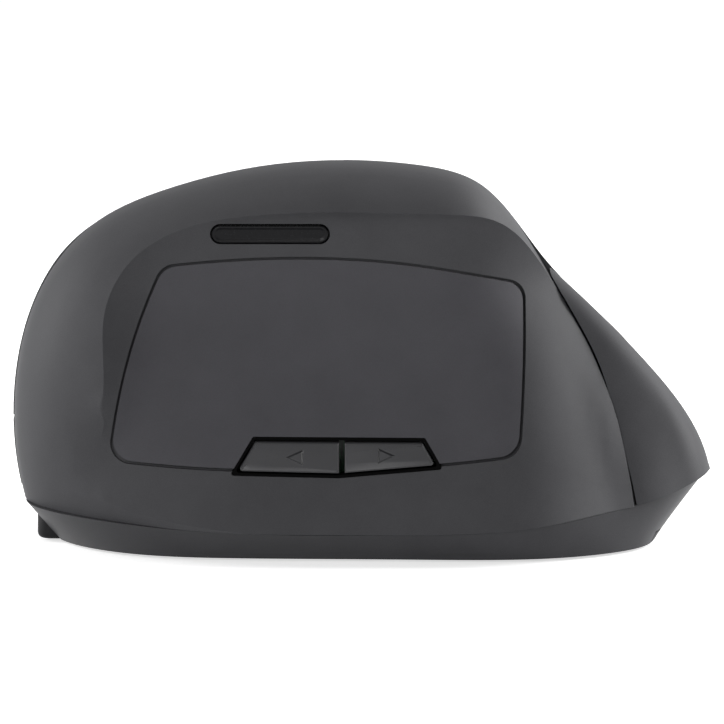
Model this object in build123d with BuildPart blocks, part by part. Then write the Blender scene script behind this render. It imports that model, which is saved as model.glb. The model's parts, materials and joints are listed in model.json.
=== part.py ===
from build123d import *
import os
from math import atan2, cos, degrees, hypot, radians, sin, sqrt

os.makedirs("parts", exist_ok=True)

# Right-handed vertical mouse in millimetres. The nose points to -X, the thumb side
# to -Y, the finger side to +Y, and the glide feet stand on Z = 0.

# Reaches of the outer form, measured from the origin
front_reach = 60.0
tail_reach = 60.0
crown_height = 66.0
thumb_reach = 33.0
finger_reach = 46.0
ridge_line = -5.2
wall = 2.2

# The casings' walls are drawn in planes that fan out from a line under the floor
fan_depth = 25.0

# Heights of the line where the casings meet the base band
parting_nose = 7.4
parting_middle = 5.3
parting_tail = 12.2

# Thumb scoop
scoop_across = -18.0
scoop_flare = 19.0
scoop_top = 43.0
scoop_front = -27.0
scoop_corner = 6.5
rear_turn = 12.2

# Gaps between pieces
seam = 0.08
tail_seam = 0.30
tail_top = 47.2
fit = 0.05
key_gap = 0.35
main_key_gap = 0.80

# Base band, given where it meets the floor and at the height of its upper outline
foot_proud = 0.5
skirt_front = 52.9
skirt_rear = 50.8
skirt_thumb = 32.4
skirt_finger = 33.6
skirt_top = 13.0
top_front = 60.3
top_rear = 60.3
top_thumb = 43.8
top_finger = 42.1
skirt_wall = 3.4
plate_inset = 2.1
plate_thickness = 1.8

# Thumb grip panel
panel_thickness = 1.1
panel_front = -43.5
panel_rear = 28.2
panel_low = 15.6
panel_high = 50.9
panel_groove = 0.5

# Side keys in their black frame
key_frame_front = -22.6
key_frame_rear = 14.0
key_frame_high = 21.1
key_frame_low = 14.4
key_divide = -3.35
frame_rim = 0.45
key_proud = 0.45
key_travel = 0.6
flange_thickness = 0.8
tact_height = 3.0
tact_plunger = 0.45
side_board_face = -19.35

# Long key above the panel
pill_length = 20.6
pill_height = 3.6
pill_x = -15.7
pill_z = 54.9
pill_gap = 0.3
pill_travel = 0.5
pill_board_face = -10.2

# Main keys and wheel on the finger side
press_tilt = 25.0
wheel_x = -34.0
wheel_z = 34.0
wheel_radius = 11.0
tyre_thickness = 2.4
wheel_width = 6.4
wheel_sink = 8.0
wheel_travel = 0.5
axle_radius = 1.5
main_key_rear = -3.0
main_key_proud = 0.30
key_split = 0.7
wheel_slot_reach = 14.5
wheel_clear = 0.9
hinge_pin_radius = 1.0
hinge_lugs = ((-18.8, -16.4), (-1.6, 1.6), (17.6, 20.0))
hinge_knuckles = {"left_button": (-16.0, -2.0), "right_button": (2.0, 17.2)}
micro_places = {"left_button": (-34.5, -10.9), "right_button": (-34.5, 15.2)}
micro_height = 6.5
post_tip = 0.75
switch_board_height = -7.0
frame_thickness = 1.5
guide_radius = 0.8
guide_fit = 0.06
guide_spread = 5.8
guide_top = 1.5
board_screw_places = ((-43.2, -12.4), (-11.0, -12.4), (-11.0, 16.4), (-43.2, 16.4))

# Boards, switches and cells
board = 1.0
main_board_height = 7.0
cell_diameter = 10.5
cell_length = 44.5
tray_start = -7.9
tray_end = 43.1
tray_reach = 13.0
tray_wall = 1.3
tray_height = 14.8
door_gap = 0.2
sensor_x = -20.0
knob_travel = 3.0
screw_radius = 1.0
boss_radius = 2.6


def side_curve(points):
    """Smooth line in the side view."""
    with BuildLine(Plane.XZ) as line:
        Spline(*points)
    return line.edges()[0]


def fan_angle(x, z):
    return degrees(atan2(z + fan_depth, -x))


def fan_radius(curve, angle):
    """Distance from the fan's line to a side curve, at one angle from the nose."""
    low = 0.0
    high = 1.0
    for step in range(24):
        middle = (low + high) / 2
        place = curve @ middle
        if fan_angle(place.X, place.Z) < angle:
            low = middle
        else:
            high = middle
    place = curve @ low
    return hypot(place.X, place.Z + fan_depth)


def share_between(value, stations):
    """Eased value between hand-set stations of (place, value)."""
    for (place, level), (next_place, next_level) in zip(stations, stations[1:]):
        if value <= next_place:
            share = max(0.0, (value - place) / (next_place - place))
            share = share * share * (3 - 2 * share)
            return level + (next_level - level) * share
    return stations[-1][1]


def ease(share):
    share = min(1.0, max(0.0, share))
    return share * share * (3 - 2 * share)


# Side view of the ridge: one curve for the thumb casing, which ends at the seam of the tail,
# and one for the palm casing, which runs on to the tip of the tail
nose_curve = [
    (-0.820 * front_reach, -0.240 * crown_height),
    (-0.925 * front_reach, 0.0),
    (-0.965 * front_reach, 0.110 * crown_height),
    (-1.000 * front_reach, 0.310 * crown_height),
    (-0.975 * front_reach, 0.520 * crown_height),
    (-0.900 * front_reach, 0.700 * crown_height),
    (-0.750 * front_reach, 0.845 * crown_height),
    (-0.520 * front_reach, 0.935 * crown_height),
    (-0.230 * front_reach, 0.992 * crown_height),
    (-0.030 * front_reach, 1.000 * crown_height),
    (0.170 * tail_reach, 0.986 * crown_height),
    (0.300 * tail_reach, 0.955 * crown_height),
    (0.370 * tail_reach, 0.920 * crown_height),
    (0.430 * tail_reach, 0.858 * crown_height),
]
seam_curve = [
    (0.540 * tail_reach, 0.700 * crown_height),
    (0.605 * tail_reach, 0.600 * crown_height),
    (0.680 * tail_reach, 0.470 * crown_height),
    (0.733 * tail_reach, 0.320 * crown_height),
    (0.788 * tail_reach, 0.120 * crown_height),
    (0.800 * tail_reach, -0.100 * crown_height),
    (0.780 * tail_reach, -0.250 * crown_height),
]
tail_curve = [
    (0.552 * tail_reach, 0.713 * crown_height),
    (0.744 * tail_reach, 0.543 * crown_height),
    (0.860 * tail_reach, 0.424 * crown_height),
    (0.948 * tail_reach, 0.315 * crown_height),
    (1.000 * tail_reach, 0.203 * crown_height),
    (1.004 * tail_reach, 0.080 * crown_height),
    (0.930 * tail_reach, -0.100 * crown_height),
    (0.800 * tail_reach, -0.280 * crown_height),
]
thumb_ridge = side_curve(nose_curve + seam_curve)
palm_ridge = side_curve(nose_curve + tail_curve)
fan_angles = (15, 24, 33, 42, 51, 60, 69, 78, 87, 96, 103, 108, 113, 119, 126, 134, 143, 153, 165)
tail_angles = (108, 116, 124, 132, 141, 150, 165)


def fan_plane(angle):
    turn = radians(angle)
    return Plane(origin=(0, 0, -fan_depth), x_dir=(0, 1, 0), z_dir=(sin(turn), 0, cos(turn)))


def thumb_section(angle, inset):
    ridge = fan_radius(thumb_ridge, angle) - inset
    width = thumb_reach * share_between(angle, ((15, 0.72), (50, 0.97), (90, 1.03), (165, 1.10))) - inset
    edge = share_between(angle, ((15, 3.0), (98, 3.0), (112, 7.0), (165, 7.0)))
    points = []
    for step in range(9):
        share = 0.996 * step / 8
        points.append((ridge_line - width * share, ridge * (1 - share * share) ** (1 / edge)))
    foot = 0.12
    points.append((ridge_line - width * (1 - foot ** edge) ** 0.5, ridge * foot))
    return points


def finger_section(angle, inset):
    ridge = fan_radius(palm_ridge, angle) - inset
    width = finger_reach - inset
    points = []
    for step in range(9):
        share = cos(radians(78.5 * step / 8))
        points.append((ridge_line + width * (1 - share * share) ** 0.625, ridge * share))
    return points


def tail_section(angle, inset):
    ridge = fan_radius(palm_ridge, angle) - inset
    width = share_between(angle, ((100, 2.6), (120, 8.0), (150, 19.5), (165, 21.0))) - inset
    points = []
    for share in (1.0, 0.985, 0.94, 0.86, 0.7, 0.5, 0.3):
        points.append((ridge_line - width * sqrt(1 - share ** 4), ridge * share))
    return points


def rim_spline(points, side):
    """Smooth wall line that leaves the ridge level and ends upright."""
    return Spline(*points, tangents=[(side, 0), (0, -1)], tangent_scalars=[0.5, 0.5])


def fan_form(section, angles, side, inset=0.0, beyond=0.0):
    """Solid half form, lofted through its fan of sections from the ridge down."""
    with BuildPart() as form:
        for angle in angles:
            curve = section(angle, inset)
            start = curve[0]
            end = curve[-1]
            centre = ridge_line - side * beyond
            with BuildSketch(fan_plane(angle)):
                with BuildLine():
                    rim_spline(curve, side)
                    if beyond:
                        Polyline(end, (centre, end[1]), (centre, start[1]), start)
                    else:
                        Polyline(end, (centre, end[1]), start)
                make_face()
        loft()
    return form.part


def fan_wall(section, side, angles, outer_inset, inner_inset):
    """Wall between two insets of one half form, lofted through its fan of sections."""
    with BuildPart() as form:
        for angle in angles:
            outer = section(angle, outer_inset)
            inner = section(angle, inner_inset)
            with BuildSketch(fan_plane(angle)):
                with BuildLine():
                    rim_spline(outer, side)
                    Line(outer[-1], inner[-1])
                    rim_spline(inner, side)
                    Line(inner[0], outer[0])
                make_face()
        loft()
    return form.part


def scoop_wall(x, z):
    """How far across the scooped wall lies at one place of the side view."""
    drop = max(0.0, 52.0 - z) / 47.0
    across = scoop_across - scoop_flare * drop ** 1.6
    beyond = hypot(max(0.0, scoop_front - x), max(0.0, z - scoop_top)) - scoop_corner
    rise = ease((z - 10.0) / 22.0)
    across -= 0.036 * rise * max(0.0, beyond) ** 2
    across += 0.008 * (1 - rise) * max(0.0, -18.0 - x) ** 2
    turn = rear_turn + 12.2 * (1 - min(1.0, max(0.0, (z - 12.0) / 35.0)) ** 1.8) + 0.3 * max(0.0, z - 47.0)
    across += 0.030 * max(0.0, x - turn) ** 2
    return across


def scoop_form(inset):
    """Everything outside the scooped wall, to be taken away from the thumb form."""
    columns = 17
    rows = 13
    grid = []
    for column in range(columns):
        x = -68.0 + 136.0 * column / (columns - 1)
        line = []
        for row in range(rows):
            z = -14.0 + 88.0 * row / (rows - 1)
            line.append(Vector(x, scoop_wall(x, z) + inset, z))
        grid.append(line)
    face = Face.make_surface_from_array_of_points(grid, tol=0.03, max_deg=3)
    with BuildPart() as form:
        extrude(face, amount=90, dir=(0, -1, 0))
    return form.part


def thumb_form(inset=0.0, beyond=0.0):
    with BuildPart() as form:
        add(fan_form(thumb_section, fan_angles, -1, inset, beyond))
        add(scoop_form(1.1 * inset), mode=Mode.SUBTRACT)
    return form.part


def finger_form():
    return fan_form(finger_section, fan_angles, 1)


def finger_wall(x, z):
    """How far across the outer finger wall lies at one place of the side view."""
    share = hypot(x, z + fan_depth) / fan_radius(palm_ridge, fan_angle(x, z))
    return ridge_line + finger_reach * max(0.0, 1 - share * share) ** 0.625


def parting_block(rise, upper):
    """Everything above or below the parting line, shifted by a small rise."""
    far = 90.0
    with BuildPart() as block:
        with BuildSketch(Plane.XZ):
            with BuildLine():
                Spline(
                    (-1.2 * front_reach, parting_nose + 0.6 + rise),
                    (-0.94 * front_reach, parting_nose + rise),
                    (-0.70 * front_reach, (parting_nose + parting_middle) / 2 + 0.2 + rise),
                    (-0.40 * front_reach, parting_middle + 0.3 + rise),
                    (0.0, parting_middle + rise),
                    (0.40 * tail_reach, parting_middle + 0.5 + rise),
                    (0.68 * tail_reach, parting_middle + 2.2 + rise),
                    (0.84 * tail_reach, parting_tail - 3.4 + rise),
                    (tail_reach, parting_tail + rise),
                    (1.2 * tail_reach, parting_tail + 4.5 + rise),
                )
                level = far if upper else -far
                Polyline(
                    (1.2 * tail_reach, parting_tail + 4.5 + rise),
                    (1.2 * tail_reach, level),
                    (-1.2 * front_reach, level),
                    (-1.2 * front_reach, parting_nose + 0.6 + rise),
                )
            make_face()
        extrude(amount=80, both=True)
    return block.part


# Base outlines seen from above, as shares of the four reaches: on the floor, and at skirt_top
floor_outline = (
    (-1.0, -0.04), (-0.93, -0.47), (-0.69, -0.845), (-0.36, -0.96),
    (0.15, -1.0), (0.64, -0.96), (0.827, -0.79), (0.95, -0.55),
    (1.0, -0.10), (0.965, 0.34), (0.778, 0.65), (0.45, 0.863),
    (0.0, 1.0), (-0.42, 0.93), (-0.70, 0.67), (-0.90, 0.32),
)
top_outline = (
    (-1.0, -0.05), (-0.967, -0.557), (-0.735, -0.81), (-0.357, -1.0),
    (0.141, -0.966), (0.556, -0.806), (0.70, -0.589), (0.852, -0.413),
    (1.0, -0.094), (0.902, 0.283), (0.728, 0.558), (0.405, 0.855),
    (0.0, 1.0), (-0.393, 0.95), (-0.703, 0.739), (-0.914, 0.337),
)


def plan_spline(shares, front, rear, thumb, finger):
    """Closed outline seen from above."""
    points = []
    for along, across in shares:
        x = along * (rear if along > 0 else front)
        y = across * (finger if across > 0 else thumb)
        points.append((x, y))
    Spline(*points, periodic=True)


def skirt_form(inset):
    """Leaning solid between the outline on the floor and the outline under the casings."""
    with BuildPart() as form:
        with BuildSketch(Plane.XY.offset(foot_proud)):
            with BuildLine():
                plan_spline(floor_outline, skirt_front - inset, skirt_rear - inset,
                            skirt_thumb - inset, skirt_finger - inset)
            make_face()
        with BuildSketch(Plane.XY.offset(skirt_top)):
            with BuildLine():
                plan_spline(top_outline, top_front - inset, top_rear - inset,
                            top_thumb - inset, top_finger - inset)
            make_face()
        loft()
    return form.part


def plate_form(inset, low, high):
    """Flat plate with the outline of the floor."""
    with BuildPart() as form:
        with BuildSketch(Plane.XY.offset(low)):
            with BuildLine():
                plan_spline(floor_outline, skirt_front - inset, skirt_rear - inset,
                            skirt_thumb - inset, skirt_finger - inset)
            make_face()
        extrude(amount=high - low)
    return form.part


# Outer and inner forms that several pieces are cut from
thumb_outer = thumb_form()
thumb_inner = thumb_form(wall, beyond=1.0)
finger_outer = finger_form()
above_parting = parting_block(seam / 2, True)
below_parting = parting_block(-seam / 2, False)

# Frame of the main keys: local x runs along the mouse, local y down the finger face,
# and local z out of it, against the way the keys are pressed
tilt = radians(press_tilt)
wheel_centre = Vector(
    wheel_x,
    finger_wall(wheel_x, wheel_z) - wheel_sink * cos(tilt),
    wheel_z - wheel_sink * sin(tilt),
)
press_plane = Plane(origin=wheel_centre, x_dir=(1, 0, 0), z_dir=(0, cos(tilt), sin(tilt)))


def block(x0, x1, y0, y1, z0, z1):
    """Box between two corners."""
    with BuildPart() as box:
        with Locations(((x0 + x1) / 2, (y0 + y1) / 2, (z0 + z1) / 2)):
            Box(x1 - x0, y1 - y0, z1 - z0)
    return box.part


def upright(x, y, radius, z0, z1):
    """Round pillar standing along Z."""
    with BuildPart() as pillar:
        with BuildSketch(Plane.XY.offset(z0)):
            with Locations((x, y)):
                Circle(radius)
        extrude(amount=z1 - z0)
    return pillar.part


def sideways(x, z, radius, y0, y1):
    """Round pillar lying along Y."""
    with BuildPart() as pillar:
        with BuildSketch(Plane.XZ.offset(-y1)):
            with Locations((x, z)):
                Circle(radius)
        extrude(amount=y1 - y0)
    return pillar.part


def press_box(x0, x1, v0, v1, low, high):
    """Box in the frame of the main keys."""
    with BuildPart() as box:
        with BuildSketch(press_plane.offset(low)):
            with Locations(((x0 + x1) / 2 - wheel_x, (v0 + v1) / 2)):
                Rectangle(x1 - x0, v1 - v0)
        extrude(amount=high - low)
    return box.part


def press_round(x, v, radius, low, high):
    """Round pillar standing out of the finger side."""
    with BuildPart() as pillar:
        with BuildSketch(press_plane.offset(low)):
            with Locations((x - wheel_x, v)):
                Circle(radius)
        extrude(amount=high - low)
    return pillar.part


def wheel_disc(radius, half_width):
    """Disc round the wheel's axis."""
    with BuildPart() as disc:
        with BuildSketch(Plane(origin=wheel_centre, x_dir=(1, 0, 0), z_dir=press_plane.y_dir)):
            Circle(radius)
        extrude(amount=half_width, both=True)
    return disc.part


def hinge_round(radius, start, end):
    """Round bar along the hinge of the main keys."""
    middle = press_point(hinge_x, (start + end) / 2, hinge_height)
    with BuildPart() as bar:
        with BuildSketch(Plane(origin=middle, x_dir=(1, 0, 0), z_dir=press_plane.y_dir)):
            Circle(radius)
        extrude(amount=(end - start) / 2, both=True)
    return bar.part


def press_point(x, v, height):
    """Place in space of a point in the frame of the main keys."""
    return press_plane.from_local_coords(Vector(x - wheel_x, v, height))


def press_height(x, v):
    """Height of the outer finger wall over one place of the main keys' frame."""
    low = -10.0
    high = 40.0
    for step in range(30):
        middle = (low + high) / 2
        place = press_point(x, v, middle)
        if place.Y < finger_wall(place.X, place.Z):
            low = middle
        else:
            high = middle
    return low


def panel_face(shrink):
    """Side view of the thumb grip panel, with four rounded corners."""
    middle_x = (panel_front + panel_rear) / 2
    middle_z = (panel_low + panel_high) / 2
    along = 1 - 2 * shrink / (panel_rear - panel_front)
    upward = 1 - 2 * shrink / (panel_high - panel_low)

    def place(x, z):
        return (middle_x + (x - middle_x) * along, middle_z + (z - middle_z) * upward)

    low_front = place(panel_front, panel_low + 1.0)
    high_front = place(panel_front + 9.2, panel_high - 1.4)
    high_rear = place(panel_rear, panel_high - 5.2)
    low_rear = place(panel_rear - 0.9, panel_low + 2.2)
    with BuildSketch(Plane.XZ) as face:
        with BuildLine():
            Spline(low_front, place(panel_front + 1.3, panel_low + 10.0), place(panel_front + 3.2, panel_low + 18.2),
                   place(panel_front + 7.0, panel_low + 29.0), high_front)
            Spline(high_front, place(-14.0, panel_high), place(5.0, panel_high - 0.7), high_rear)
            Spline(high_rear, place(panel_rear - 0.1, panel_low + 15.0), low_rear)
            Spline(low_rear, place(14.0, panel_low + 0.7), place(-8.0, panel_low - 0.2),
                   place(-24.0, panel_low - 0.1), low_front)
        make_face()
        fillet(face.vertices(), radius=3.6)
    return face.sketch


def frame_face(shrink):
    """Side view of the opening for the two side keys."""
    with BuildSketch(Plane.XZ) as face:
        with BuildLine():
            Polyline(
                (key_frame_front, key_frame_low + 0.4),
                (key_frame_front + 4.0, key_frame_high),
                (key_frame_rear - 3.1, key_frame_high - 0.2),
                (key_frame_rear, key_frame_low + 1.4),
                (key_divide - 0.6, key_frame_low),
                close=True,
            )
        make_face()
        offset(amount=-shrink - 0.4, kind=Kind.INTERSECTION)
        offset(amount=0.4)
    return face.sketch


def pill_face(grow):
    """Side view of the long key above the panel."""
    with BuildSketch(Plane.XZ) as face:
        with Locations((pill_x, pill_z)):
            SlotOverall(pill_length + 2 * grow, pill_height + 2 * grow)
    return face.sketch


def main_key_face(shrink):
    """Opening for both main keys, drawn on the finger face."""
    with BuildSketch(press_plane) as face:
        with BuildLine():
            Polyline(
                (-75 - wheel_x, -60),
                (main_key_rear - wheel_x, -60),
                (main_key_rear - wheel_x, 22.5),
                (-38 - wheel_x, 20.5),
                (-50 - wheel_x, 16.0),
                (-64 - wheel_x, 8.0),
                (-75 - wheel_x, 4.0),
                close=True,
            )
        make_face()
        if shrink:
            offset(amount=-shrink, kind=Kind.INTERSECTION)
    return face.sketch


# Thumb casing with its scoop, pocket for the panel, openings for the keys, and bosses
thumb_bosses = ((-37.0, -19.5, 34.0), (22.0, -25.0, 26.0))
palm_bosses = ((-33.0, 19.2, 8.5), (0.0, 25.5, 10.5))
side_board_posts = ((key_frame_front - 2.6, key_frame_low + 2.6), (key_frame_rear + 2.9, key_frame_low + 2.6))
pill_board_posts = ((pill_x - 13.7, pill_z), (pill_x + 13.7, pill_z))
plate_top = foot_proud + plate_thickness
pilot_radius = screw_radius - 0.15
shank_radius = pilot_radius - fit

with BuildPart() as panel_pocket:
    extrude(panel_face(0.0), amount=60)
    add(scoop_form(panel_thickness + fit), mode=Mode.INTERSECT)

with BuildPart() as thumb_shell:
    add(thumb_outer)
    add(thumb_inner, mode=Mode.SUBTRACT)
    for x, z in side_board_posts:
        add(sideways(x, z, 1.7, -36, side_board_face - fit) & thumb_outer)
        add(sideways(x, z, pilot_radius, side_board_face - 4, side_board_face), mode=Mode.SUBTRACT)
    for x, z in pill_board_posts:
        add(sideways(x, z, 1.5, -24, pill_board_face - fit) & thumb_outer)
        add(sideways(x, z, pilot_radius, pill_board_face - 4, pill_board_face), mode=Mode.SUBTRACT)
    for x, y, top in thumb_bosses:
        add(upright(x, y, boss_radius, plate_top + fit, top) & thumb_outer)
        add(upright(x, y, pilot_radius, plate_top, plate_top + 10), mode=Mode.SUBTRACT)
    add(panel_pocket.part, mode=Mode.SUBTRACT)
    extrude(frame_face(0.0), amount=60, mode=Mode.SUBTRACT)
    extrude(pill_face(0.0), amount=60, mode=Mode.SUBTRACT)
    add(above_parting, mode=Mode.INTERSECT)
thumb_shell.part.label = "thumb_shell"
export_step(thumb_shell.part, "parts/thumb_shell.step")

# Panel that fills the pocket but for a thin groove round its edge
with BuildPart() as thumb_grip_panel:
    extrude(panel_face(panel_groove), amount=60)
    extrude(frame_face(0.0), amount=60, mode=Mode.SUBTRACT)
    add(scoop_form(panel_thickness), mode=Mode.INTERSECT)
    add(scoop_form(0.0), mode=Mode.SUBTRACT)
thumb_grip_panel.part.label = "thumb_grip_panel"
export_step(thumb_grip_panel.part, "parts/thumb_grip_panel.step")

# Black frame round both side keys, as deep as the casing's wall
with BuildPart() as side_button_bezel:
    extrude(frame_face(fit), amount=60)
    extrude(frame_face(fit + frame_rim), amount=60, mode=Mode.SUBTRACT)
    add(thumb_outer, mode=Mode.INTERSECT)
    add(thumb_inner, mode=Mode.SUBTRACT)
side_button_bezel.part.label = "side_button_bezel"
export_step(side_button_bezel.part, "parts/side_button_bezel.step")

# Side keys: each stands a little proud, and has a flange behind the wall and a post for its switch
key_outer = thumb_form(-key_proud)
key_flange = side_board_face - tact_height - tact_plunger - key_travel - 0.1 - flange_thickness - 0.5
key_middle = (key_frame_low + key_frame_high) / 2
side_keys = {
    "back_button": (key_divide - 60, key_divide - key_gap / 2, (key_frame_front + key_divide) / 2 + 1.2),
    "forward_button": (key_divide + key_gap / 2, key_divide + 60, (key_frame_rear + key_divide) / 2 - 1.2),
}
side_key_parts = {}
for key_name, (key_start, key_end, key_centre) in side_keys.items():
    with BuildPart() as side_key:
        extrude(frame_face(fit + frame_rim + key_gap), amount=60)
        add(block(key_start, key_end, -80, key_flange, 0, 50), mode=Mode.INTERSECT)
        add(key_outer, mode=Mode.INTERSECT)
        flange_start = max(key_start, key_frame_front + 3.4)
        flange_end = min(key_end, key_frame_rear - 2.4)
        add(block(flange_start, flange_end, key_flange, key_flange + flange_thickness,
                  key_frame_low + 1.4, key_frame_high + 0.3))
        add(sideways(key_centre, key_middle, 1.2, key_flange, key_flange + flange_thickness + 0.5))
    side_key.part.label = key_name
    side_key_parts[key_name] = side_key.part
    export_step(side_key.part, f"parts/{key_name}.step")

# Board behind the side keys with one press switch for each
with BuildPart() as side_button_board:
    add(block(side_board_posts[0][0] - 2.2, side_board_posts[1][0] + 2.2, side_board_face, side_board_face + board,
              key_frame_low - 3.5, key_frame_high + 2.5))
    fillet(side_button_board.edges().filter_by(Axis.Y), radius=1.2)
    for x, z in side_board_posts:
        add(sideways(x, z, screw_radius, side_board_face - 1, side_board_face + 2), mode=Mode.SUBTRACT)
side_button_board.part.label = "side_button_board"
export_step(side_button_board.part, "parts/side_button_board.step")


def tact_switch(x, z, face):
    """Square press switch standing on a board's outer face."""
    with BuildPart() as switch:
        add(block(x - 3.0, x + 3.0, face - tact_height, face, z - 3.0, z + 3.0))
        chamfer(switch.edges().filter_by(Axis.Y), length=0.5)
        add(sideways(x, z, 1.7, face - tact_height - tact_plunger, face - tact_height))
    return switch.part


for key_name, switch_name in (("back_button", "back_tact_switch"), ("forward_button", "forward_tact_switch")):
    with BuildPart() as side_switch:
        add(tact_switch(side_keys[key_name][2], key_middle, side_board_face))
    side_switch.part.label = switch_name
    export_step(side_switch.part, f"parts/{switch_name}.step")

# Long key with its flange and post, its switch and its board
pill_flange = pill_board_face - tact_height - tact_plunger - pill_travel - 0.1 - flange_thickness - 0.5
with BuildPart() as dpi_button:
    extrude(pill_face(-pill_gap), amount=60)
    add(block(-60, 60, -60, pill_flange, 40, 70), mode=Mode.INTERSECT)
    add(key_outer, mode=Mode.INTERSECT)
    add(block(pill_x - pill_length / 2 - 0.6, pill_x + pill_length / 2 + 0.6, pill_flange,
              pill_flange + flange_thickness, pill_z - pill_height / 2 - 0.4, pill_z + pill_height / 2 + 0.2))
    add(sideways(pill_x, pill_z, 1.2, pill_flange, pill_flange + flange_thickness + 0.5))
dpi_button.part.label = "dpi_button"
export_step(dpi_button.part, "parts/dpi_button.step")

with BuildPart() as dpi_tact_switch:
    add(tact_switch(pill_x, pill_z, pill_board_face))
dpi_tact_switch.part.label = "dpi_tact_switch"
export_step(dpi_tact_switch.part, "parts/dpi_tact_switch.step")

with BuildPart() as dpi_board:
    add(block(pill_board_posts[0][0] - 2.0, pill_board_posts[1][0] + 2.0, pill_board_face, pill_board_face + board,
              pill_z - 3.2, pill_z + 3.0))
    fillet(dpi_board.edges().filter_by(Axis.Y), radius=1.2)
    for x, z in pill_board_posts:
        add(sideways(x, z, screw_radius, pill_board_face - 1, pill_board_face + 2), mode=Mode.SUBTRACT)
dpi_board.part.label = "dpi_board"
export_step(dpi_board.part, "parts/dpi_board.step")

# Palm casing: finger wall, tail, hinge lugs for the main keys, and bosses
hinge_x = main_key_rear + 2.6
hinge_height = press_height(hinge_x, 0) - 7.2
lug_radius = 2.3
with BuildPart() as palm_shell:
    add(fan_wall(finger_section, 1, fan_angles, 0.0, wall))
    extrude(main_key_face(0.0), amount=60, mode=Mode.SUBTRACT)
    extrude(main_key_face(0.0), amount=-40, mode=Mode.SUBTRACT)
    for start, end in hinge_lugs:
        add(press_box(hinge_x - 1.7, hinge_x + 1.7, start, end, hinge_height, 40) & finger_outer)
        add(hinge_round(lug_radius, start, end))
    add(hinge_round(hinge_pin_radius, hinge_lugs[0][0] - 1, hinge_lugs[-1][1] + 1), mode=Mode.SUBTRACT)
    for x, y, top in palm_bosses:
        add(upright(x, y, boss_radius, plate_top + fit, top))
        add(block(x - 0.8, x + 0.8, y, 60, 6.6, top + 3) & finger_outer)
        add(upright(x, y, pilot_radius, plate_top, plate_top + 5), mode=Mode.SUBTRACT)
    add(above_parting, mode=Mode.INTERSECT)
palm_shell.part.label = "palm_shell"
export_step(palm_shell.part, "parts/palm_shell.step")

# Tail cover, which stands out behind the thumb casing's rear edge
with BuildPart() as behind_seam:
    with BuildSketch(Plane.XZ.offset(-ridge_line + seam)):
        with BuildLine():
            rear_edge = Spline(*[(x + tail_seam, z) for x, z in seam_curve])
            Polyline(rear_edge @ 1, (1.3 * tail_reach, -30), (1.3 * tail_reach, tail_top + seam),
                     (seam_curve[0][0], tail_top + seam), rear_edge @ 0)
        make_face()
    extrude(amount=60)

with BuildPart() as tail_cover:
    add(fan_wall(tail_section, -1, tail_angles, 0.0, wall))
    add(above_parting, mode=Mode.INTERSECT)
    add(behind_seam.part, mode=Mode.INTERSECT)
tail_cover.part.label = "tail_cover"
export_step(tail_cover.part, "parts/tail_cover.step")

# Steel pin that both main keys turn on
with BuildPart() as key_hinge_pin:
    add(hinge_round(hinge_pin_radius - 0.01, hinge_lugs[0][0], hinge_lugs[-1][1]))
key_hinge_pin.part.label = "key_hinge_pin"
export_step(key_hinge_pin.part, "parts/key_hinge_pin.step")

# Main keys, parted along the wheel
front_angles = [angle for angle in fan_angles if angle <= 103]
main_keys = {"left_button": -1, "right_button": 1}
with BuildPart() as key_plates:
    add(fan_wall(finger_section, 1, front_angles, -main_key_proud, wall))
    extrude(main_key_face(main_key_gap / 2), amount=40, both=True, mode=Mode.INTERSECT)
    add(block(-80, 40, ridge_line + main_key_gap, 90, -30, 90), mode=Mode.INTERSECT)

slot_half = wheel_width / 2 + wheel_clear
for key_name, side in main_keys.items():
    knuckle_start, knuckle_end = hinge_knuckles[key_name]
    post_x, post_v = micro_places[key_name]
    with BuildPart() as main_key:
        add(key_plates.part)
        if side < 0:
            add(press_box(-90, 20, -80, -key_split / 2, -50, 50), mode=Mode.INTERSECT)
        else:
            add(press_box(-90, 20, key_split / 2, 80, -50, 50), mode=Mode.INTERSECT)
        add(press_box(wheel_x - wheel_slot_reach, wheel_x + wheel_slot_reach, -slot_half, slot_half, -50, 50),
            mode=Mode.SUBTRACT)
        add(press_box(hinge_x - 9.5, hinge_x + 0.6, knuckle_start, knuckle_end, hinge_height, hinge_height + 2.2))
        add(press_box(hinge_x - 9.5, hinge_x - 5.5, knuckle_start, knuckle_end, hinge_height, 40) & finger_outer)
        add(hinge_round(lug_radius - 0.2, knuckle_start, knuckle_end))
        add(hinge_round(hinge_pin_radius + fit, knuckle_start - 1, knuckle_end + 1), mode=Mode.SUBTRACT)
        add(press_round(post_x, post_v, 1.3, post_tip, 40) & finger_outer)
    main_key.part.label = key_name
    export_step(main_key.part, f"parts/{key_name}.step")

# Board under the main keys, its frame, and the guide pins of the wheel's cradle
board_face = switch_board_height
board_start = wheel_x - 12.0
board_end = wheel_x + 26.0
board_high = -15.0
board_low = 19.0
guide_x = wheel_x + 13.6
wheel_opening = wheel_radius - 1.0

with BuildPart() as switch_board:
    add(press_box(board_start, board_end, board_high, board_low, board_face - board, board_face))
    add(press_box(wheel_x - wheel_opening + 0.5, wheel_x + wheel_opening - 0.5, -4.2, 4.2, board_face - 2, board_face + 1),
        mode=Mode.SUBTRACT)
    for v in (-guide_spread, guide_spread):
        add(press_round(guide_x, v, guide_radius + 0.2, board_face - 2, board_face + 1), mode=Mode.SUBTRACT)
    for x, v in board_screw_places:
        add(press_round(x, v, screw_radius, board_face - 2, board_face + 1), mode=Mode.SUBTRACT)
switch_board.part.label = "switch_board"
export_step(switch_board.part, "parts/switch_board.step")

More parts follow.
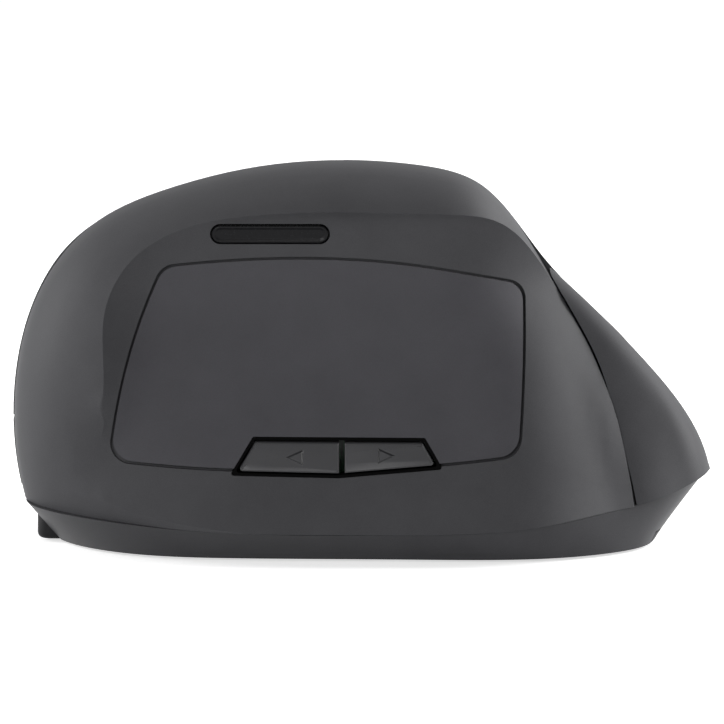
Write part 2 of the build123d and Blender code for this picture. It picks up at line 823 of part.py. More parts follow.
frame_top = board_face - board - 0.1
with BuildPart() as switch_frame:
    add(press_box(board_start, board_end, board_high, board_low, frame_top - frame_thickness, frame_top))
    for rib_x in (board_start + 0.9, board_end - 0.9):
        upper = press_point(rib_x, board_high, frame_top - frame_thickness / 2)
        lower = press_point(rib_x, board_low, frame_top - frame_thickness / 2)
        with BuildSketch(Plane.YZ.offset(rib_x)):
            with BuildLine():
                Polyline((upper.Y, upper.Z), (lower.Y, lower.Z), (lower.Y - 7.0, plate_top + 4.0),
                         (lower.Y - 7.0, plate_top + fit), (upper.Y - 3.0, plate_top + fit),
                         (upper.Y - 3.0, upper.Z - 4.0), close=True)
            make_face()
        extrude(amount=0.8, both=True)
    add(press_box(wheel_x - wheel_opening + 1.0, wheel_x + wheel_opening - 1.0, -4.2, 4.2, frame_top - 4, frame_top + 1),
        mode=Mode.SUBTRACT)
    for x, v in board_screw_places:
        add(press_round(x, v, pilot_radius, frame_top - 4, frame_top + 1), mode=Mode.SUBTRACT)
    for v in (-guide_spread, guide_spread):
        add(press_round(guide_x, v, guide_radius, frame_top - 0.5, guide_top))
switch_frame.part.label = "switch_frame"
export_step(switch_frame.part, "parts/switch_frame.step")

# Cradle that carries the wheel and slides on the guide pins when the wheel is pressed
cheek_inner = wheel_width / 2 + 2.0
cheek_outer = cheek_inner + 1.2
with BuildPart() as wheel_cradle:
    for side in (-1, 1):
        inner = side * cheek_inner
        outer = side * cheek_outer
        add(press_box(wheel_x - 5.0, guide_x + 1.5, min(inner, outer), max(inner, outer), -4.5, 2.3))
    add(press_box(guide_x - 2.0, guide_x + 2.0, -cheek_outer, cheek_outer, -4.5, -1.5))
    for v in (-guide_spread, guide_spread):
        add(press_round(guide_x, v, guide_radius + guide_fit, -6, 4), mode=Mode.SUBTRACT)
    add(wheel_disc(axle_radius + fit, 12), mode=Mode.SUBTRACT)
wheel_cradle.part.label = "wheel_cradle"
export_step(wheel_cradle.part, "parts/wheel_cradle.step")

with BuildPart() as wheel_encoder:
    add(press_box(wheel_x - 5.0, wheel_x + 5.0, cheek_outer + 0.05, cheek_outer + 4.6, -4.5, 2.3))
    chamfer(wheel_encoder.edges().filter_by(Axis.X), length=0.4)
    add(wheel_disc(axle_radius + fit, 12), mode=Mode.SUBTRACT)
wheel_encoder.part.label = "wheel_encoder"
export_step(wheel_encoder.part, "parts/wheel_encoder.step")

# Wheel: spoked hub with its axle, and a ribbed tyre
hub_radius = wheel_radius - tyre_thickness
with BuildPart() as scroll_wheel:
    add(wheel_disc(hub_radius, wheel_width / 2 + 0.3))
    for side in (-1, 1):
        hollow_plane = Plane(origin=wheel_centre, x_dir=(1, 0, 0), z_dir=side * press_plane.y_dir)
        with BuildSketch(hollow_plane.offset(1.2)):
            Circle(hub_radius - 1.4)
            Circle(axle_radius + 1.3, mode=Mode.SUBTRACT)
            with PolarLocations((hub_radius - 1.4 + axle_radius + 1.3) / 2, 5):
                Rectangle(hub_radius - axle_radius, 1.2, mode=Mode.SUBTRACT)
        extrude(amount=4, mode=Mode.SUBTRACT)
    with BuildSketch(Plane(origin=wheel_centre, x_dir=(1, 0, 0), z_dir=press_plane.y_dir).offset(-cheek_outer - 0.6)):
        Circle(axle_radius)
    extrude(amount=2 * cheek_outer + 3.8)
scroll_wheel.part.label = "scroll_wheel"
export_step(scroll_wheel.part, "parts/scroll_wheel.step")

with BuildPart() as wheel_tyre:
    add(wheel_disc(wheel_radius, wheel_width / 2))
    chamfer(wheel_tyre.edges(), length=0.7)
    add(wheel_disc(hub_radius, wheel_width), mode=Mode.SUBTRACT)
    groove_plane = Plane(origin=wheel_centre, x_dir=(1, 0, 0), z_dir=press_plane.y_dir)
    with BuildSketch(groove_plane):
        with PolarLocations(wheel_radius + 0.1, 24):
            Rectangle(0.7, 0.8)
    extrude(amount=wheel_width, both=True, mode=Mode.SUBTRACT)
wheel_tyre.part.label = "wheel_tyre"
export_step(wheel_tyre.part, "parts/wheel_tyre.step")

with BuildPart() as wheel_switch:
    add(press_box(guide_x - 3.0, guide_x + 3.0, -3.0, 3.0, board_face, board_face + 1.4))
    add(press_round(guide_x, 0, 1.4, board_face + 1.4, -4.5 - wheel_travel - 0.15))
wheel_switch.part.label = "wheel_switch"
export_step(wheel_switch.part, "parts/wheel_switch.step")

# Micro switches under the main keys
for switch_name, key_name in (("left_micro_switch", "left_button"), ("right_micro_switch", "right_button")):
    place_x, place_v = micro_places[key_name]
    with BuildPart() as micro_switch:
        add(press_box(place_x - 2.6, place_x + 10.2, place_v - 2.9, place_v + 2.9, board_face, board_face + micro_height))
        chamfer(micro_switch.edges().filter_by(Axis.X), length=0.4)
        add(press_round(place_x, place_v, 0.9, board_face + micro_height, board_face + micro_height + 0.7))
    micro_switch.part.label = switch_name
    export_step(micro_switch.part, f"parts/{switch_name}.step")

# Base band under the casings, hollow, with a step for the bottom plate
door_box = block(tray_start + 1.2, 80, -tray_reach - door_gap, tray_reach + door_gap, foot_proud - 3, plate_top + 0.2)
nose_box = block(-70, -48, -9.1, 9.1, foot_proud - 3, foot_proud + 4.2)
with BuildPart() as base_skirt:
    add(skirt_form(0.0))
    add(below_parting, mode=Mode.INTERSECT)
    add(skirt_form(skirt_wall), mode=Mode.SUBTRACT)
    add(plate_form(plate_inset - fit, foot_proud - 1, plate_top + fit), mode=Mode.SUBTRACT)
    add(door_box, mode=Mode.SUBTRACT)
    add(nose_box, mode=Mode.SUBTRACT)
base_skirt.part.label = "base_skirt"
export_step(base_skirt.part, "parts/base_skirt.step")

# Bottom plate with its nose, sensor window, switch slot, glide pockets, screw holes and bosses
switch_place = (-30.0, 9.8)
board_bosses = ((-39.5, -11.5), (-39.5, 10.5), (-14.0, -11.5), (-14.0, 11.0))
front_glide_place = (-41.5, -2.0)
rear_glide_places = ((34.0, -20.5), (24.5, 19.2))
glide_pocket = 0.3
case_screws = [(x, y) for x, y, top in thumb_bosses + palm_bosses]


def pad(x, y, length, width, corner, low, high):
    """Flat pad with round corners."""
    with BuildPart() as form:
        with BuildSketch(Plane.XY.offset(low)):
            with Locations((x, y)):
                RectangleRounded(length, width, corner)
        extrude(amount=high - low)
    return form.part


with BuildPart() as nose:
    add(block(-55.9, -49, -9, 9, foot_proud, foot_proud + 4.1))
    fillet(nose.edges().filter_by(Axis.Z).group_by(Axis.X)[0], radius=2.5)
    fillet(nose.faces().sort_by(Axis.Z)[0].edges().sort_by(Axis.X)[0:3], radius=1.0)

with BuildPart() as bottom_plate:
    add(plate_form(plate_inset, foot_proud, plate_top))
    add(nose.part)
    add(block(-53.5, -48, -7.5, 7.5, plate_top, foot_proud + 5), mode=Mode.SUBTRACT)
    for x, y in board_bosses:
        add(upright(x, y, 2.2, plate_top - 0.5, main_board_height))
        add(upright(x, y, pilot_radius, plate_top, main_board_height + 1), mode=Mode.SUBTRACT)
    add(block(sensor_x - 4.5, sensor_x + 4.5, -3, 3, 0, 3), mode=Mode.SUBTRACT)
    add(pad(*switch_place, 9.0, 3.4, 1.0, 0, 3), mode=Mode.SUBTRACT)
    for x, y in case_screws:
        add(upright(x, y, screw_radius, 0, 3), mode=Mode.SUBTRACT)
        add(upright(x, y, 2.1, 0, foot_proud + 1.1), mode=Mode.SUBTRACT)
    add(pad(*front_glide_place, 7.2, 23.2, 3.1, 0, foot_proud + glide_pocket), mode=Mode.SUBTRACT)
    for x, y in rear_glide_places:
        add(pad(x, y, 14.2, 6.2, 2.6, 0, foot_proud + glide_pocket), mode=Mode.SUBTRACT)
    add(door_box, mode=Mode.SUBTRACT)
bottom_plate.part.label = "bottom_plate"
export_step(bottom_plate.part, "parts/bottom_plate.step")

with BuildPart() as front_glide:
    add(pad(*front_glide_place, 7.0, 23.0, 3.0, 0, foot_proud + glide_pocket))
    chamfer(front_glide.faces().sort_by(Axis.Z)[0].edges(), length=0.15)
front_glide.part.label = "front_glide"
export_step(front_glide.part, "parts/front_glide.step")

with BuildPart() as rear_glide:
    for x, y in rear_glide_places:
        add(pad(x, y, 14.0, 6.0, 2.5, 0, foot_proud + glide_pocket))
    chamfer(rear_glide.faces().filter_by(Axis.Z).group_by(Axis.Z)[0].edges(), length=0.15)
rear_glide.part.label = "rear_glide"
export_step(rear_glide.part, "parts/rear_glide.step")

# Sliding battery door: its rear end is part of the band's lip
with BuildPart() as battery_door:
    add(skirt_form(0.0))
    add(block(tray_start + 1.2 + door_gap, 80, -tray_reach, tray_reach, foot_proud, plate_top), mode=Mode.INTERSECT)
    for step in range(4):
        add(block(tray_end - 12 + 2.4 * step, tray_end - 11.2 + 2.4 * step, -8, 8, 0, foot_proud + 0.4), mode=Mode.SUBTRACT)
battery_door.part.label = "battery_door"
export_step(battery_door.part, "parts/battery_door.step")

# Battery tray, open at the bottom, with the two cells, their springs and contacts
cell_y = cell_diameter / 2 + 0.75
cell_z = plate_top + 0.6 + cell_diameter / 2
with BuildPart() as battery_tray:
    add(block(tray_start, tray_end, -tray_reach, tray_reach, plate_top + fit + 0.2, tray_height))
    fillet(battery_tray.edges().filter_by(Axis.X).group_by(Axis.Z)[-1], radius=5.0)
    add(block(tray_start + tray_wall, tray_end - tray_wall, -tray_reach + tray_wall, tray_reach - tray_wall, 0,
              tray_height - 3.5), mode=Mode.SUBTRACT)
    for side in (-1, 1):
        with BuildSketch(Plane.YZ.offset(tray_start + tray_wall)):
            with Locations((side * cell_y, cell_z)):
                Circle(cell_diameter / 2 + 0.3)
        extrude(amount=tray_end - tray_start - 2 * tray_wall, mode=Mode.SUBTRACT)
battery_tray.part.label = "battery_tray"
export_step(battery_tray.part, "parts/battery_tray.step")


def lengthwise(y, z, radius, x0, x1):
    """Round bar lying along X."""
    with BuildPart() as bar:
        with BuildSketch(Plane.YZ.offset(x0)):
            with Locations((y, z)):
                Circle(radius)
        extrude(amount=x1 - x0)
    return bar.part


contact_x = tray_start + tray_wall
contact_thickness = 0.4
cell_start = contact_x + contact_thickness + 0.1
for cell_name, side in (("battery_cell_a", -1), ("battery_cell_b", 1)):
    y = side * cell_y
    with BuildPart() as cell:
        add(lengthwise(y, cell_z, cell_diameter / 2, cell_start + 1.0, cell_start + cell_length))
        fillet(cell.edges(), radius=0.5)
        add(lengthwise(y, cell_z, 1.9, cell_start, cell_start + 1.5))
    cell.part.label = cell_name
    export_step(cell.part, f"parts/{cell_name}.step")

with BuildPart() as battery_contacts:
    for side in (-1, 1):
        y = side * cell_y
        add(block(contact_x, contact_x + contact_thickness, y - 3.5, y + 3.5, cell_z - 4, cell_z + 4))
battery_contacts.part.label = "battery_contacts"
export_step(battery_contacts.part, "parts/battery_contacts.step")

spring_start = cell_start + cell_length + 0.1
with BuildPart() as battery_springs:
    for side in (-1, 1):
        y = side * cell_y
        add(block(tray_end - tray_wall - 0.4, tray_end - tray_wall, y - 3.5, y + 3.5, cell_z - 4, cell_z + 4))
        with BuildSketch(Plane.XZ.offset(-y)):
            with BuildLine():
                Polyline(
                    (spring_start, cell_z + 1.2),
                    (tray_end - tray_wall - 0.4, cell_z + 3.2),
                    (tray_end - tray_wall - 0.4, cell_z + 2.7),
                    (spring_start, cell_z + 0.7),
                    close=True,
                )
            make_face()
        revolve(axis=Axis((0, y, cell_z), (1, 0, 0)), revolution_arc=360)
battery_springs.part.label = "battery_springs"
export_step(battery_springs.part, "parts/battery_springs.step")

# Main board with its sensor, lens, controller and power switch
with BuildPart() as main_board:
    add(block(sensor_x - 23.5, sensor_x + 9.5, -15, 14, main_board_height, main_board_height + board))
    fillet(main_board.edges().filter_by(Axis.Z), radius=2.0)
    add(upright(sensor_x, 0, 4.0, main_board_height - 1, main_board_height + 2), mode=Mode.SUBTRACT)
    for x, y in board_bosses:
        add(upright(x, y, screw_radius, main_board_height - 1, main_board_height + 2), mode=Mode.SUBTRACT)
main_board.part.label = "main_board"
export_step(main_board.part, "parts/main_board.step")

with BuildPart() as sensor_chip:
    add(block(sensor_x - 6.4, sensor_x + 6.4, -5, 5, main_board_height + board, main_board_height + board + 3.2))
    chamfer(sensor_chip.edges().filter_by(Axis.Z), length=1.0)
sensor_chip.part.label = "sensor_chip"
export_step(sensor_chip.part, "parts/sensor_chip.step")

with BuildPart() as sensor_lens:
    add(pad(sensor_x, 0, 18, 14, 2.0, plate_top + fit, plate_top + 1.3))
    add(upright(sensor_x, 0, 3.8, plate_top + 1.0, main_board_height + board - 0.1))
    add(upright(sensor_x, 0, 2.2, plate_top, plate_top + 1.0), mode=Mode.SUBTRACT)
sensor_lens.part.label = "sensor_lens"
export_step(sensor_lens.part, "parts/sensor_lens.step")

with BuildPart() as controller_chip:
    add(block(sensor_x - 18.5, sensor_x - 11.5, -3.5, 3.5, main_board_height + board, main_board_height + board + 0.9))
controller_chip.part.label = "controller_chip"
export_step(controller_chip.part, "parts/controller_chip.step")

switch_x, switch_y = switch_place
with BuildPart() as power_switch_body:
    add(block(switch_x - 4.25, switch_x + 4.25, switch_y - 1.85, switch_y + 1.85, plate_top + 1.3, main_board_height))
power_switch_body.part.label = "power_switch_body"
export_step(power_switch_body.part, "parts/power_switch_body.step")

with BuildPart() as power_switch_knob:
    knob_x = switch_x - knob_travel / 2
    add(pad(knob_x, switch_y, 4.4, 2.8, 0.7, foot_proud + 0.25, plate_top + 0.3))
    add(block(knob_x - 2.8, knob_x + 2.8, switch_y - 2.4, switch_y + 2.4, plate_top + 0.25, plate_top + 1.0))
    for step in (-1, 0, 1):
        add(block(knob_x + step - 0.2, knob_x + step + 0.2, switch_y - 2, switch_y + 2, 0, foot_proud + 0.45),
            mode=Mode.SUBTRACT)
power_switch_knob.part.label = "power_switch_knob"
export_step(power_switch_knob.part, "parts/power_switch_knob.step")

# Screws: four through the bottom plate into the casings, the rest hold the boards
with BuildPart() as base_screws:
    for x, y in case_screws:
        add(upright(x, y, 1.9, foot_proud + 0.3, foot_proud + 1.1))
        add(upright(x, y, shank_radius, foot_proud + 1.1, plate_top + 4.5))
base_screws.part.label = "base_screws"
export_step(base_screws.part, "parts/base_screws.step")

with BuildPart() as board_screws:
    for x, y in board_bosses:
        add(upright(x, y, 1.6, main_board_height + board, main_board_height + board + 0.8))
        add(upright(x, y, shank_radius, main_board_height - 3, main_board_height + board))
    for x, v in board_screw_places:
        add(press_round(x, v, 1.5, board_face, board_face + 0.8))
        add(press_round(x, v, shank_radius, frame_top - frame_thickness + 0.1, board_face))
    for x, z in side_board_posts:
        add(sideways(x, z, 1.5, side_board_face + board, side_board_face + board + 0.8))
        add(sideways(x, z, shank_radius, side_board_face - 3, side_board_face + board))
    for x, z in pill_board_posts:
        add(sideways(x, z, 1.4, pill_board_face + board, pill_board_face + board + 0.8))
        add(sideways(x, z, shank_radius, pill_board_face - 3, pill_board_face + board))
board_screws.part.label = "board_screws"
export_step(board_screws.part, "parts/board_screws.step")
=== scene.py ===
import json
import math

import bmesh
import bpy
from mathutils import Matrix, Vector
from mathutils.bvhtree import BVHTree

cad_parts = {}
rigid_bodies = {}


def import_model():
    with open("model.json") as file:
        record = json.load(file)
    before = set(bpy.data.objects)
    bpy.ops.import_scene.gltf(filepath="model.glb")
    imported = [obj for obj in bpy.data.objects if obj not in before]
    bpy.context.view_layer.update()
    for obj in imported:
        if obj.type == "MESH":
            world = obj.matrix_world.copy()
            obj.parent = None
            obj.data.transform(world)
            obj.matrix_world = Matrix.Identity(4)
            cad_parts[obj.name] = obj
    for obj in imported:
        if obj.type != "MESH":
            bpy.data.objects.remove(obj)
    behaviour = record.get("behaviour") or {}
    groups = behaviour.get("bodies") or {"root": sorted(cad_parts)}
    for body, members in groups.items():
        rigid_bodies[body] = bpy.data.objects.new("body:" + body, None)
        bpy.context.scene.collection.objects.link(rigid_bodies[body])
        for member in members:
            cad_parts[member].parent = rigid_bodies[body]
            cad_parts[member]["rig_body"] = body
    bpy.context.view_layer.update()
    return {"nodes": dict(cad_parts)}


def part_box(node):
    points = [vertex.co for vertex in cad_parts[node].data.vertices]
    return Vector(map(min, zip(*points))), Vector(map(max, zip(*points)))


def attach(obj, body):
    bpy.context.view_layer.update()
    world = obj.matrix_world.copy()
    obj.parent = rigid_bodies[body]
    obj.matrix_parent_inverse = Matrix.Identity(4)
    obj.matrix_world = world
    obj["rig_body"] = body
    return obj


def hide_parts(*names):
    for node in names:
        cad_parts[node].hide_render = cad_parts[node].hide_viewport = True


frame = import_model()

bl_info = {
    "name": "Vertical mouse dresser",
    "version": (1, 0, 0),
    "blender": (4, 5, 0),
    "location": "View3D > Sidebar > Mouse",
    "description": "Finishes the moulded, rubber and metal pieces of a vertical mouse",
    "category": "Object",
}

# Every length below is in metres. The nose points to -X, the thumb side to -Y, up is +Z.
NODES = frame["nodes"]
MM = 0.001
FAN_DEPTH = 25 * MM  # the casings fan out round a line this far under the desk

WELD_DISTANCE = 2e-6
FLAT_ANGLE = math.radians(0.6)  # faces that differ by less count as one plane
SMOOTH_ANGLE = math.radians(28)  # edges of curved pieces stay crisp past this
SHARP_ANGLE = math.radians(32)  # edges of small pieces are rounded past this
FRONT_ANGLE = math.radians(20)  # a key's front ends where it turns by more
RIM_ANGLE = math.radians(40)
LONG_KEY_ANGLE = math.radians(50)
LOOK_FROM = -0.2  # y of a place well outside the thumb side
LOOK_ALONG = Vector((0.0, 1.0, 0.0))

# How the casings and the left main key dip under the ridge. In this block and in the two after it,
# each pair says where a change of shape starts and where it is full.
TUCK_LOWEST = 8 * MM
PALM_TUCK = 0.8 * MM
PALM_TUCK_FAN = (124.0, 140.0)  # degrees round the fan line, from the nose
PALM_TUCK_ACROSS = (9 * MM, -5 * MM)
KEY_TUCK_FAN = (54.0, 64.0)
KEY_TUCK_ACROSS = (14 * MM, 4 * MM)

# How the tail cover and the thumb casing close the low end of the tail seam.
SEAM_FOOT = 50.4 * MM  # x of the tail seam at the desk
SEAM_LEAN = 0.285  # how far the seam goes forward for each step up
SEAM_LOW = (44 * MM, 10 * MM)
SEAM_OUTWARD = (-5 * MM, -12 * MM)
TAIL_FRONT = (9 * MM, 0.0)
TAIL_LEAD = 0.2 * MM
TAIL_LEAD_FRONT = (6 * MM, 0.3 * MM)
THUMB_EDGE = (-5.0 * MM, -2.0 * MM)
THUMB_EDGE_END = 0.3 * MM
THUMB_EDGE_OUTWARD = (-9 * MM, -15 * MM)

# Where and how the low front crease of the scoop fades.
FADE_FRONT = (-54 * MM, -49 * MM)
FADE_REAR = (-26 * MM, -34 * MM)
FADE_BEFORE_PANEL = (-44.3 * MM, -46.5 * MM)
FADE_UNDER_PANEL = (15.0 * MM, 13.5 * MM)
FADE_FOOT = (10.5 * MM, 14 * MM)
FADE_TOP = (32 * MM, 23 * MM)
FADE_CUTS = 3
FADE_LONGEST = 1.6 * MM  # longer edges are cut in two
FADE_STEP = 0.6  # share of the way to its neighbours that a point goes each time
THUMB_SIDE = -0.2  # a normal's y below this faces the thumb side
NEAR_THUMB_SIDE = -0.1

# Places on the thumb keys and the long key as (x, z), seen from the thumb side.
BACK_ARROW = (-10.0 * MM, 17.8 * MM)
FORWARD_ARROW = (2.8 * MM, 18.05 * MM)
ARROW_SLOPE = 0.34 * MM  # width of the sloping wall inside an arrow's outline
ON_BACK_KEY = (-9.0 * MM, 17.5 * MM)
ON_FORWARD_KEY = (3.5 * MM, 17.5 * MM)
KEYS_MEET = -3.35 * MM
KEY_RIM = 0.55 * MM
KEY_RIM_DROP = 0.32 * MM
KEY_RIM_SHARES = (1.0, 0.3)  # share of the drop on each ring, from the outside in
LONG_KEY_MIDDLE = (-15.7 * MM, 54.9 * MM)
LONG_KEY_HALF = 8.5 * MM  # from the middle to the centre of a round end
LONG_KEY_RADIUS = 1.5 * MM
LONG_KEY_SET_BACK = 0.75 * MM
LONG_KEY_STEPS = 12  # straight pieces round each of its ends

TYRE_EDGE = 0.12 * MM
KNOB_EDGE = 0.08 * MM
DRAWN_STRETCH = (1.0, 1.0, 12.0)

FLOOR_SIZE = 6.0
FLOOR_LIFT = 0.62
WORLD_LIGHT = 0.12
WHITE = (1.0, 1.0, 1.0, 1.0)
STAGE_MIDDLE = Vector((0.0, -10 * MM, 30 * MM))
LAMP_DISTANCE = 0.74
LAMP_SIZE = 0.34
# Each lamp's name, turn from the thumb side towards the tail, rise, and power.
LAMPS = (
    ("left_rim", -104.0, 18.0, 3.8),
    ("front_fill", -20.0, 15.0, 2.3),
    ("right_rim", 108.0, 18.0, 5.2),
    ("rear_rim", 130.0, 35.0, 2.8),
    ("crown_rim", -140.0, 62.0, 0.8),
)
CAMERA_TILT = math.radians(8.0)
CAMERA_AIM = Vector((0.09 * MM, -20.0 * MM, 32.94 * MM))
CAMERA_DISTANCE = 3.0
SEEN_WIDTH = 124.3 * MM


class MouseSizes(bpy.types.PropertyGroup):
    """Small sizes of the dressed mouse."""

    edge_round: bpy.props.FloatProperty(
        name="Edge rounding", description="Radius on the edges of small moulded pieces",
        default=0.15 * MM, min=0.0, unit="LENGTH")
    long_key_round: bpy.props.FloatProperty(
        name="Long key rounding", description="Radius round the front of the long key",
        default=0.35 * MM, min=0.0, unit="LENGTH")
    grain_size: bpy.props.FloatProperty(
        name="Grain size", description="Spacing of the fine moulded grain",
        default=0.16 * MM, min=0.01 * MM, unit="LENGTH")
    arrow_length: bpy.props.FloatProperty(
        name="Arrow length", description="From the tip to the back of the arrow sunk in each thumb key",
        default=3.1 * MM, min=0.5 * MM, unit="LENGTH")
    arrow_height: bpy.props.FloatProperty(
        name="Arrow height", description="Height of the back of each arrow",
        default=2.6 * MM, min=0.5 * MM, unit="LENGTH")
    arrow_depth: bpy.props.FloatProperty(
        name="Arrow depth", description="How far an arrow is sunk in its key",
        default=0.55 * MM, min=0.0, unit="LENGTH")
    ridge_tuck: bpy.props.FloatProperty(
        name="Ridge tuck", description="How far the top edge of the left main key dips behind the ridge",
        default=0.45 * MM, min=0.0, unit="LENGTH")
    tail_fill: bpy.props.FloatProperty(
        name="Tail fill", description="How far the low front of the tail comes out towards the thumb side",
        default=1.9 * MM, min=0.0, unit="LENGTH")
    thumb_reach: bpy.props.FloatProperty(
        name="Thumb reach", description="How far the thumb casing's low rear edge reaches towards the tail",
        default=1.4 * MM, min=0.0, unit="LENGTH")
    crease_fade: bpy.props.IntProperty(
        name="Crease fade", description="How many times the low front crease of the scoop is eased",
        default=60, min=0, subtype="UNSIGNED")
    key_parting: bpy.props.FloatProperty(
        name="Key parting", description="How far each thumb key draws back from the other",
        default=0.32 * MM, min=0.0, unit="LENGTH")


def tone(name, description, value):
    return bpy.props.FloatVectorProperty(
        name=name, description=description, subtype="COLOR", size=4, min=0.0, max=1.0,
        default=(value[0], value[1], value[2], 1.0))


class MouseColours(bpy.types.PropertyGroup):
    """Colours of the dressed mouse."""

    casing: tone("Casing", "Graphite of the casings and main keys", (0.060, 0.060, 0.064))
    grip: tone("Grip panel", "Soft panel in the thumb scoop", (0.067, 0.066, 0.073))
    band: tone("Base band", "Band under the casings", (0.056, 0.056, 0.060))
    keys: tone("Thumb keys", "The pair of keys in the scoop", (0.043, 0.043, 0.046))
    gloss: tone("Gloss black", "Long key and wheel hub", (0.006, 0.006, 0.007))
    frame: tone("Key frame", "Black frame round the thumb keys", (0.002, 0.002, 0.002))
    underside: tone("Underside", "Bottom plate, door and tray", (0.014, 0.014, 0.015))
    tyre: tone("Wheel tyre", "Ribbed rubber of the wheel", (0.012, 0.012, 0.012))
    board: tone("Boards", "Solder mask of the boards", (0.010, 0.085, 0.030))
    cradle: tone("Wheel cradle", "Natural nylon of the cradle", (0.62, 0.62, 0.58))
    glides: tone("Glide feet", "Slick feet under the mouse", (0.16, 0.16, 0.17))
    knob: tone("Power knob", "Nylon knob of the power switch", (0.55, 0.55, 0.54))
    switches: tone("Switches", "Bodies of the switches and chips", (0.010, 0.010, 0.011))
    bracket: tone("Bracket", "Switch frame and battery tray", (0.09, 0.09, 0.09))
    steel: tone("Steel", "Plated pins, screws and springs", (0.62, 0.62, 0.63))
    can: tone("Cell can", "Bare ends of the battery cells", (0.55, 0.55, 0.56))
    cell_band: tone("Cell band", "Band at one end of the cells", (0.30, 0.10, 0.02))
    cell_print: tone("Cell sleeve", "Sleeve of the battery cells", (0.05, 0.06, 0.08))
    floor: tone("Floor", "Pale floor under the mouse", (0.80, 0.80, 0.80))


def sizes():
    return bpy.context.scene.mouse_sizes


def colours():
    return bpy.context.scene.mouse_colours


# Materials


class Finish:
    """Small builder for one node material on Object coordinates."""

    def __init__(self, name):
        self.material = bpy.data.materials.new(name)
        self.material.use_nodes = True
        self.tree = self.material.node_tree
        self.tree.nodes.clear()
        self.shader = self.add("ShaderNodeBsdfPrincipled")
        output = self.add("ShaderNodeOutputMaterial")
        self.join(self.shader, "BSDF", output, "Surface")
        self.place = self.add("ShaderNodeTexCoord")

    def add(self, kind, **settings):
        node = self.tree.nodes.new(kind)
        for key, value in settings.items():
            if key in node.inputs:
                node.inputs[key].default_value = value
            else:
                setattr(node, key, value)
        return node

    def join(self, source, output, target, entry):
        self.tree.links.new(source.outputs[output], target.inputs[entry])

    def noise(self, spacing, detail=2.0, rough=0.5):
        """Noise whose lumps are about one spacing across."""
        texture = self.add("ShaderNodeTexNoise", Detail=detail, Roughness=rough)
        texture.inputs["Scale"].default_value = 1.0 / spacing
        self.join(self.place, "Object", texture, "Vector")
        return texture

    def ramp(self, source, output, low, high, low_at=0.35, high_at=0.65):
        """Maps a grey value to a value or colour between two ends."""
        ramp = self.add("ShaderNodeValToRGB")
        ramp.color_ramp.elements[0].position = low_at
        ramp.color_ramp.elements[1].position = high_at
        ramp.color_ramp.elements[0].color = low
        ramp.color_ramp.elements[1].color = high
        self.join(source, output, ramp, "Fac")
        return ramp

    def span(self, source, output, low, high):
        """Maps 0..1 to a plain number range."""
        span = self.add("ShaderNodeMapRange")
        span.inputs["To Min"].default_value = low
        span.inputs["To Max"].default_value = high
        self.join(source, output, span, "Value")
        return span

    def sunk_triangle(self, tip, back, middle, half):
        """1 inside an arrow on the XZ plane, 0 outside, with a narrow slope along its sides."""
        last = None
        for across, upward, offset in arrow_lines(tip, back, middle, half):
            side = self.add("ShaderNodeVectorMath", operation="DOT_PRODUCT")
            side.inputs[1].default_value = (across, 0.0, upward)
            self.join(self.place, "Object", side, 0)
            within = self.add("ShaderNodeMath", operation="ADD")
            within.inputs[1].default_value = offset
            self.join(side, "Value", within, 0)
            if last is not None:
                least = self.add("ShaderNodeMath", operation="MINIMUM")
                self.join(last, 0, least, 0)
                self.join(within, 0, least, 1)
                within = least
            last = within
        wall = self.add("ShaderNodeMapRange", interpolation_type="SMOOTHSTEP")
        wall.inputs["From Max"].default_value = ARROW_SLOPE
        self.join(last, 0, wall, "Value")
        return wall

    def bump(self, source, output, depth, strength, after=None):
        """Relief of one depth, on top of an earlier one if there is one."""
        bump = self.add("ShaderNodeBump", Strength=strength, Distance=depth)
        self.join(source, output, bump, "Height")
        if after is not None:
            self.join(after, "Normal", bump, "Normal")
        return bump


def arrow_lines(tip, back, middle, half):
    """The three sides of an arrow as (x share, z share, offset), each growing towards its inside."""
    long = math.hypot(back - tip, half)
    ahead = 1.0 if back > tip else -1.0
    slope = half / long
    level = abs(back - tip) / long
    return ((-ahead, 0.0, ahead * back),
            (ahead * slope, -level, level * middle - ahead * slope * tip),
            (ahead * slope, level, -level * middle - ahead * slope * tip))


def shade(colour, share):
    return (colour[0] * share, colour[1] * share, colour[2] * share, 1.0)


def moulded(name, colour, rough, depth, sheen=0.0, grain=1.0, shine=0.10, marks=()):
    """Moulded plastic or soft coating: fine grain, faint clouds of tone, a little handling polish."""
    finish = Finish(name)
    shader = finish.shader
    cloud = finish.noise(9 * MM, detail=3.0, rough=0.6)
    mottle = finish.ramp(cloud, "Fac", shade(colour, 0.93), shade(colour, 1.06), low_at=0.3, high_at=0.7)
    pores = finish.noise(sizes().grain_size * grain, rough=0.65)
    speck = finish.ramp(pores, "Fac", shade(WHITE, 0.90), shade(WHITE, 1.08), low_at=0.3, high_at=0.7)
    blend = finish.add("ShaderNodeMix", data_type="RGBA", blend_type="MULTIPLY")
    blend.inputs["Factor"].default_value = 1.0
    finish.tree.links.new(mottle.outputs["Color"], blend.inputs["A"])
    finish.tree.links.new(speck.outputs["Color"], blend.inputs["B"])
    finish.tree.links.new(blend.outputs["Result"], shader.inputs["Base Color"])
    polish = finish.span(cloud, "Fac", rough - 0.05, rough + 0.05)
    finish.join(polish, "Result", shader, "Roughness")
    relief = finish.bump(pores, "Fac", depth, strength=0.6)
    for mark in marks:
        sunk = finish.sunk_triangle(*mark)
        relief = finish.bump(sunk, "Result", sizes().arrow_depth, strength=1.0, after=relief)
    finish.join(relief, "Normal", shader, "Normal")
    shader.inputs["Specular IOR Level"].default_value = shine
    if sheen:
        shader.inputs["Sheen Weight"].default_value = sheen
        shader.inputs["Sheen Roughness"].default_value = 0.5
    return finish.material


